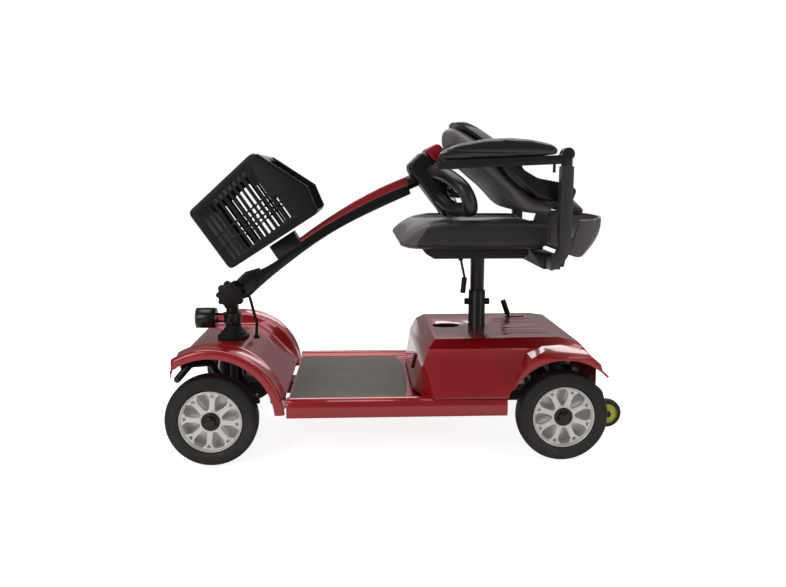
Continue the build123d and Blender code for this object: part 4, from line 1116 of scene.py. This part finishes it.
def seatSeam(x, z):
    # half the width of the grey panel, which spreads out towards the front
    return seatPad["panelHalf"] + seatPad["spread"] * smoothStep(-70, 4 - (z - 475) * 0.9, x) ** 1.4


def seatFace(point):
    return abs(point.y) < seatSeam(point.x, point.z) and (point.z > 478 or point.x > -20)


def seamDepth(value, width):
    return max(0.0, 1 - (value / width) ** 2)


def makeSeatPad():
    outline = [(seatPad["centreX"] + x, z) for x, z in seatPad["outline"]]
    core = plate("seatPadCore", rounded(outline, 9, 4), [], "side", -seatPad["half"], seatPad["half"],
                 seatPad["edge"], 4)
    pad = inflated(core, seatPad["cap"], 5.0, 4)
    for vertex in pad.data.vertices:
        x, y, z = vertex.co / mm
        seam = seatSeam(x, z)
        if z > 495:
            inside = 1 - smoothStep(seatPad["dishHalf"] - 14, seatPad["dishHalf"] + 22, abs(y))
            inside = inside * (1 - smoothStep(seatPad["dishFrom"] - 6, seatPad["dishFrom"] + 26, x))
            z = min(z, seatTop - 0.3 + (seatPad["dishLow"] - seatTop) * inside)
            z -= seatPad["groove"] * seamDepth(abs(y) - seam, 3.5)
            vertex.co.z = z * mm
    pad.name = "seatPadVisual"
    place(pad, "vinylBlack", "seat", "seat_cushion", sharp=70)
    twoTone(pad, "vinylGrey", seatFace)


makeSeatPad()

backPad = {
    "cap": 5, "half": 187, "edge": 14, "tipDrop": 92, "tipFrom": 150, "tipEnd": 354, "pillowFrom": 268,
    "outer": ((350, -28), (300, -35), (203, -40), (150, -40), (108, -35), (78, -14), (58, -18)),
    "fold": ((-312, 540), (-270, 540), (-250, 551)),
    "inner": ((163, -62), (308, -64), (338, -56), (354, -42)),
}


def backPlace(x, z):
    # along the back and out from it, the other way round from backPoint
    c, s = math.cos(backTilt), math.sin(backTilt)
    dx, dz = x - hingePoint.x, z - hingePoint.z
    return dx * c + dz * s, -dx * s + dz * c


def tipRound(reach, y, sizes):
    # pulls the far corners of the back in, so that it ends in a round
    start = sizes["tipFrom"]
    if reach <= start:
        return reach
    pull = sizes["tipDrop"] * ((reach - start) / (sizes["tipEnd"] - start))
    return reach - pull * (min(1.0, abs(y) / sizes["half"])) ** 3


def makeBackPad():
    outline = [backPoint(*p) for p in backPad["outer"]] + list(backPad["fold"])
    outline += [backPoint(*p) for p in backPad["inner"]]
    core = plate("backPadCore", rounded(outline, 12, 4), [], "side", -backPad["half"], backPad["half"],
                 backPad["edge"], 4)
    pad = inflated(core, backPad["cap"])
    for vertex in pad.data.vertices:
        x, y, z = vertex.co / mm
        reach, out = backPlace(x, z)
        reach = tipRound(reach, y, backPad)
        out += 2.6 * seamDepth(abs(y) - 118, 5) * (1 if out < -50 else 0)
        out += 3.0 * seamDepth(reach - backPad["pillowFrom"], 6) * (1 if out < -50 else 0)
        x, z = backPoint(reach, out)
        vertex.co = Vector((x, y, z)) * mm
    pad.name = "backPadVisual"
    place(pad, "vinylGrey", "back", "backrest_cushion", sharp=70)


makeBackPad()

armPad = {
    "cap": 1.5, "low": 219.5, "high": 260.5, "seam": 2.0, "seamDepth": 1.6,
    "crown": ((267, -12), (269, -4), (259, 6.5), (230, 19), (180, 28), (130, 32), (80, 29), (40, 21), (25, 13),
              (22, 4), (24, -1)),
}


def makeArmPad(side):
    out = 1 if side == "left" else -1
    outline = [(armPivot.x + x, armPivot.z + z) for x, z in armPad["crown"]]
    low, high = armPad["low"], armPad["high"]
    if out < 0:
        low, high = -high, -low
    core = plate(f"armPadCore_{side}", rounded(outline, 7, 3), [], "side", low, high, 7, 4)
    pad = inflated(core, armPad["cap"], 4.0, 2)
    for vertex in pad.data.vertices:
        x, y, z = vertex.co / mm
        rise = z - armPivot.z - armPad["seam"] - 0.012 * (x - armPivot.x)
        groove = armPad["seamDepth"] * seamDepth(rise, 2.6)
        inward = Vector((0, -math.copysign(groove, y - 240 * out), 0))
        vertex.co += inward * mm * (1 if abs(abs(y) - 240) > 12 else 0)
    pad.name = f"armPadVisual_{side}"
    place(pad, "padBlack", f"arm_{side}", f"arm_pad_{side}", sharp=60)


makeArmPad("left")
makeArmPad("right")
print("padded pieces made")


# backrest shell, its bolster tubes, the grey hinge cover and the bucket behind the seat

shell = {
    "half": 194, "edge": 13, "tipDrop": 96, "tipFrom": 150, "tipEnd": 351,
    "outline": ((46, 16), (58, 44), (79, 38), (131, 1), (203, -8), (282, 0), (338, -2), (351, -20), (300, -28),
                (203, -33), (150, -33), (105, -28), (62, -2)),
    "hinge": ((-20, 42), (26, 42), (72, 36), (66, 4), (10, 14), (-20, 28)), "hingeHalf": 130, "hingeDrop": 40,
    "tube": ((84, 14), (118, -12), (150, -24), (204, -27), (262, -21), (296, -22)), "tubeY": 176, "tubeRadius": 15,
    "bucketRadius": 74.5, "bucketHalf": 203, "bucketDrop": 46, "bucketWall": 5,
}


def sideLoft(name, outline, half, edge, warp, count=26):
    # sections across Y, each shrunk a little near the ends so that they round off
    stations = []
    for step in range(7):
        angle = math.pi / 2 * step / 6
        stations.append((half - edge + edge * math.sin(angle), edge * (1 - math.cos(angle))))
    middle = [(half - edge) * k / count for k in range(count)]
    levels = facing(stations[::-1], -1) + [(-y, 0) for y in middle[:0:-1]]
    levels += [(y, 0) for y in middle] + stations
    centre = sum((Vector(p) for p in outline), Vector((0, 0))) / len(outline)
    bm = bmesh.new()
    rings = []
    for y, shrink in levels:
        ring = []
        for point in outline:
            away = Vector(point) - centre
            moved = centre + away * max(0.05, 1 - shrink / max(away.length, edge * 1.2))
            x, z = warp(moved.x, moved.y, y)
            ring.append((x, y, z))
        rings.append(ring)
    loft(bm, rings, closed=True, caps=True)
    return newMesh(name, cleaned(bm))


def makeBackShell():
    def roundTip(x, z, y):
        reach, out = backPlace(x, z)
        return backPoint(tipRound(reach, y, shell), out)

    def roundHinge(x, z, y):
        reach, out = backPlace(x, z)
        if reach < 60:
            reach += shell["hingeDrop"] * (60 - reach) / 80 * (abs(y) / shell["hingeHalf"]) ** 3
        return backPoint(reach, out - 14 * (abs(y) / shell["hingeHalf"]) ** 4)

    outline = rounded([backPoint(*p) for p in shell["outline"]], 9, 4)
    parts = [sideLoft("backShellBody", outline, shell["half"], shell["edge"], roundTip)]
    for out in (1, -1):
        route = []
        for reach, depth in shell["tube"]:
            x, z = backPoint(tipRound(reach, shell["tubeY"], shell), depth)
            route.append((x, shell["tubeY"] * out, z))
        parts.append(tube("bolster", route, shell["tubeRadius"], sides=7))
    place(joined("backShellVisual", parts), "plasticGloss", "back", "backrest_shell", sharp=45)
    outline = rounded([backPoint(*p) for p in shell["hinge"]], 8, 4)
    place(sideLoft("backHingeCover", outline, shell["hingeHalf"], 12, roundHinge), "shellGrey", "back", sharp=45)


def bucketOutline(radius, inset):
    points = []
    for degrees in range(-8, 119, 6):
        x, z = polar(radius, math.radians(degrees))
        points.append((hingePoint.x - x, hingePoint.z - z))
    return points + [(hingePoint.x + 2, hingePoint.z + 8 + inset)]


def makeBucket():
    half, drop = shell["bucketHalf"], shell["bucketDrop"]

    def roundEnd(x, z, y):
        reach = drop * (abs(y) / half) ** 2.6
        share = smoothStep(hingePoint.x + 30, hingePoint.x - 74, x)
        return x + reach * share, z

    outer = sideLoft("bucketOuter", bucketOutline(shell["bucketRadius"], 0), half, 9, roundEnd)
    inner = sideLoft("bucketInner", bucketOutline(shell["bucketRadius"] - shell["bucketWall"], 40),
                     half - shell["bucketWall"], 7, roundEnd)
    made = subtract(outer, inner)
    made.name = "seatBucketVisual"
    place(made, "shellGrey", "seat", "seat_bucket", sharp=45)


makeBackShell()


# head: housing, red cover and the two hand loops

head = {
    "origin": (-30, 612), "half": 51.6, "edge": 8, "podHalf": 43.6,
    "shell": ((-39, 6), (-24, -3), (15, -5), (66, -12), (108, -16), (108, -11), (84, -4), (86, 20), (62, 31),
              (44, 32), (30, 50), (-26, 56), (-39, 50)),
    "pod": ((-38, 56.2), (4, 56.2), (4, 88), (-2, 92), (-22, 92), (-28, 88)),
    "loop": ((10, 36, 40), (16, 40, 100), (45, 48, 163), (84, 46, 188), (116, 31, 180), (115, 25, 142),
             (102, 9, 92), (66, 6, 40)),
    "loopRadius": 16,
}


def headPoint(u, w):
    c = math.cos(math.radians(45))
    return (head["origin"][0] - (u + w) * c, head["origin"][1] - u * c + w * c)


def makeHead():
    for name, key, half, edge, look, node in (
            ("headShellVisual", "shell", head["half"], head["edge"], "plasticGloss", "head_shell"),
            ("headCoverVisual", "pod", head["podHalf"], 5, "paintRed", "head_cover")):
        outline = rounded([headPoint(*p) for p in head[key]], 9, 4)
        place(plate(name, outline, [], "side", -half, half, edge, 4), look, "tiller", node, sharp=40)
    loops = []
    for out in (1, -1):
        route = [(headPoint(u, w)[0], y * out, headPoint(u, w)[1]) for u, w, y in head["loop"]]
        loops.append(tube(f"loop_{out}", route, head["loopRadius"], sides=8, steps=12))
    place(joined("handLoops", loops), "gripBlack", "tiller", "handle_loops", sharp=50)


makeHead()
print("head made")


# basket

basket = {
    "corners": ((68, 198), (-77, 330), (-194, 253), (-215, 197), (-19, 72)), "half": 150, "wall": 3, "edge": 6,
    "rows": 12, "pitch": 13.9, "first": 24.0, "inset": 18.5, "length": 124.0, "growth": 1.55, "width": 7.5,
    "runs": ((0.0, 0.5), (0.53, 0.7), (0.73, 1.0)), "least": 0.05, "skips": {10: 0.28, 11: 0.6},
}


def insetLine(points, amount):
    # the same outline moved inwards, for points that run clockwise
    result = []
    count = len(points)
    centre = sum((Vector(p) for p in points), Vector((0, 0))) / count
    for index in range(count):
        a, b, c = Vector(points[index - 1]), Vector(points[index]), Vector(points[(index + 1) % count])
        n1 = Vector((-(b - a).y, (b - a).x)).normalized()
        n2 = Vector((-(c - b).y, (c - b).x)).normalized()
        if n1.dot(centre - b) < 0:
            n1, n2 = -n1, -n2
        shift = (n1 + n2) / (1 + n1.dot(n2))
        result.append(tuple(b + shift * amount))
    return result


def subtract(piece, cutter):
    addModifier(piece, "BOOLEAN", operation="DIFFERENCE", object=cutter, solver="EXACT")
    made = applyModifiers(piece)
    bpy.data.objects.remove(cutter)
    return made


def makeBasket():
    base = [(foldPoint.x + x, foldPoint.z + z) for x, z in basket["corners"]]
    half, wall = basket["half"], basket["wall"]
    corners = [(*base[0], 12), (*base[1], 16), (*base[2], 8), (*base[3], 8), (*base[4], 12)]
    outer = plate("basketShell", rounded(corners, 10, 5), [], "side", -half, half, basket["edge"], 4)
    inside = [(*p, r) for p, r in zip(insetLine(base, wall), (9, 13, 6, 6, 9))]
    hollow = plate("hollow", rounded(inside, 8, 5), [], "side", -half + wall, half - wall, basket["edge"] - 2, 4)
    rim, shoulder, heel = (Vector(base[k]) for k in (1, 2, 3))
    mouth = [(rim.x - 3, rim.y - 5), (shoulder.x + 6, shoulder.y - 2), (heel.x + 5, heel.y + 2),
             (heel.x - 80, heel.y + 20), (rim.x - 120, rim.y + 120), (rim.x + 8, rim.y + 60)]
    opening = plate("mouth", mouth, [], "side", -half + wall + 0.4, half - wall - 0.4, 0.4, 1)
    nose = Vector(base[0])
    rise = (Vector(base[1]) - nose).normalized()
    run = (Vector(base[4]) - nose).normalized()
    loops = []
    for row in range(basket["rows"]):
        length = basket["length"] + basket["growth"] * row
        skipped = basket["skips"].get(row, 0.0)
        for start, end in basket["runs"]:
            start = max(start, skipped)
            if end - start < basket["least"]:
                continue
            loop = []
            for share, across in ((start, -1), (end, -1), (end, 1), (start, 1)):
                height = basket["first"] + basket["pitch"] * row + across * basket["width"] / 2
                loop.append(tuple(nose + run * (basket["inset"] + share * length) + rise * height))
            loops.append(rounded(loop, 3.2, 4))
    slots = plate("slots", loops[0], loops[1:], "side", -half - 5, half + 5, 0.05, 0)
    made = outer
    for cutter in (hollow, opening, slots):
        made = subtract(made, cutter)
    place(soften(made, 0.7, 2, 40), "plasticBlack", "basket_body", "basket", sharp=40)
    # a raised band round the rim
    lip = []
    for y in (-half + 1.5, half - 1.5):
        lip.append(tube("lip",
                        [(p[0], y, p[1]) for p in ((rim.x - 8, rim.y - 7), (shoulder.x + 3, shoulder.y + 1),
                                                   (heel.x + 2, heel.y + 4))], 2.4, kind="POLY", sides=4))
    place(joined("basketRim", lip), "plasticBlack", "basket_body", sharp=50)


makeBasket()
makeBucket()
print("basket and bucket made")


# CAD parts whose shape is right as it is get a finish, and most of them rounded edges

softened = {
    # node: look, body, edge width in millimetres
    "front_bumper": ("steelBlack", "chassis", 0.8),
    "anti_tip_arms": ("steelBlack", "chassis", 1.0),
    "headlamp_bracket": ("steelBlack", "steering", 0.6),
    "steering_post": ("steelBlack", "steering", 1.2),
    "knuckle_left": ("steelBlack", "knuckle_left_body", 1.0),
    "knuckle_right": ("steelBlack", "knuckle_right_body", 1.0),
    "seat_receiver": ("steelBlack", "chassis", 0.6),
    "seat_post": ("steelBlack", "post", 0.8),
    "arm_frame_left": ("steelGrey", "arm_frame_left_body", 2.2),
    "arm_frame_right": ("steelGrey", "arm_frame_right_body", 2.2),
    "arm_bar_left": ("steelBlack", "arm_left", 1.6),
    "arm_bar_right": ("steelBlack", "arm_right", 1.6),
    "speed_dial": ("gripBlack", "dial", 0.6),
    "fold_knob": ("plasticBlack", "fold_clamp", 1.2),
    "post_knob": ("plasticBlack", "post_clamp", 0.8),
    "arm_knob_left": ("plasticBlack", "arm_clamp_left", 1.0),
    "arm_knob_right": ("plasticBlack", "arm_clamp_right", 1.0),
    "swivel_lever": ("plasticBlack", "swivel_handle", 0.6),
    "freewheel_lever": ("plasticBlack", "freewheel", 0.8),
    "ignition_key": ("keySteel", "key", 0.4),
    "horn_button": ("hornRed", "horn", 0.4),
    "tiller_column": ("plasticGloss", "tiller", 1.6),
    "tiller_trim": ("paintRed", "tiller", 1.0),
    "seat_pan": ("plasticBlack", "seat", 2.0),
    "throttle_lever": ("plasticBlack", "throttle", 1.0),
    "headlamp_body": ("plasticGloss", "steering", 1.2),
    "headlamp_lens": ("lampGlass", "steering", 0.8),
    "steering_boot": ("rubber", "chassis", 0.6),
    "tie_rod": ("steelBlack", "tie_rod_body", 0.6),
}
finished = {
    "front_frame": "steelBlack", "rear_frame": "steelBlack", "battery_packs": "plasticBlack",
    "controller": "plasticBlack",
    "transaxle": "steelBlack", "cover_trim": "plasticBlack",
}
fallbackLook = "plasticBlack"


def finishNodes():
    for node, (look, body, width) in softened.items():
        if node not in replacedNodes:
            softCopy(f"{node}_soft", node, look, body, width)
    for node, piece in frame["nodes"].items():
        if node in replacedNodes:
            continue
        material = looks[finished.get(node, fallbackLook)][0]
        for slot in piece.material_slots:
            slot.material = material


finishNodes()
print("CAD parts finished")


# floor under it

groundSetup = {"half": 9000, "patch": 3.0, "dark": (0.93, 0.93, 0.93), "pale": (0.95, 0.95, 0.95), "glow": 0.85,
               "shader": {"Roughness": 0.6, "Specular IOR Level": 0.2, "Emission Color": (1, 1, 1, 1)}}


def makeGround():
    bm = bmesh.new()
    bmesh.ops.create_grid(bm, x_segments=4, y_segments=4, size=groundSetup["half"])
    ground = newMesh("groundPlane", bm)
    material, tree, shader = newMaterial("groundPale", groundSetup["shader"])
    shade = addMix(tree, addNoise(tree, onObject(tree), groundSetup["patch"]), groundSetup["dark"],
                   groundSetup["pale"])
    seen = addNode(tree, "ShaderNodeLightPath").outputs["Is Camera Ray"]
    feedAll(tree, shader, {"Base Color": shade,
                           "Emission Strength": addMath(tree, "MULTIPLY", seen, groundSetup["glow"])})
    ground.data.materials.append(material)


makeGround()
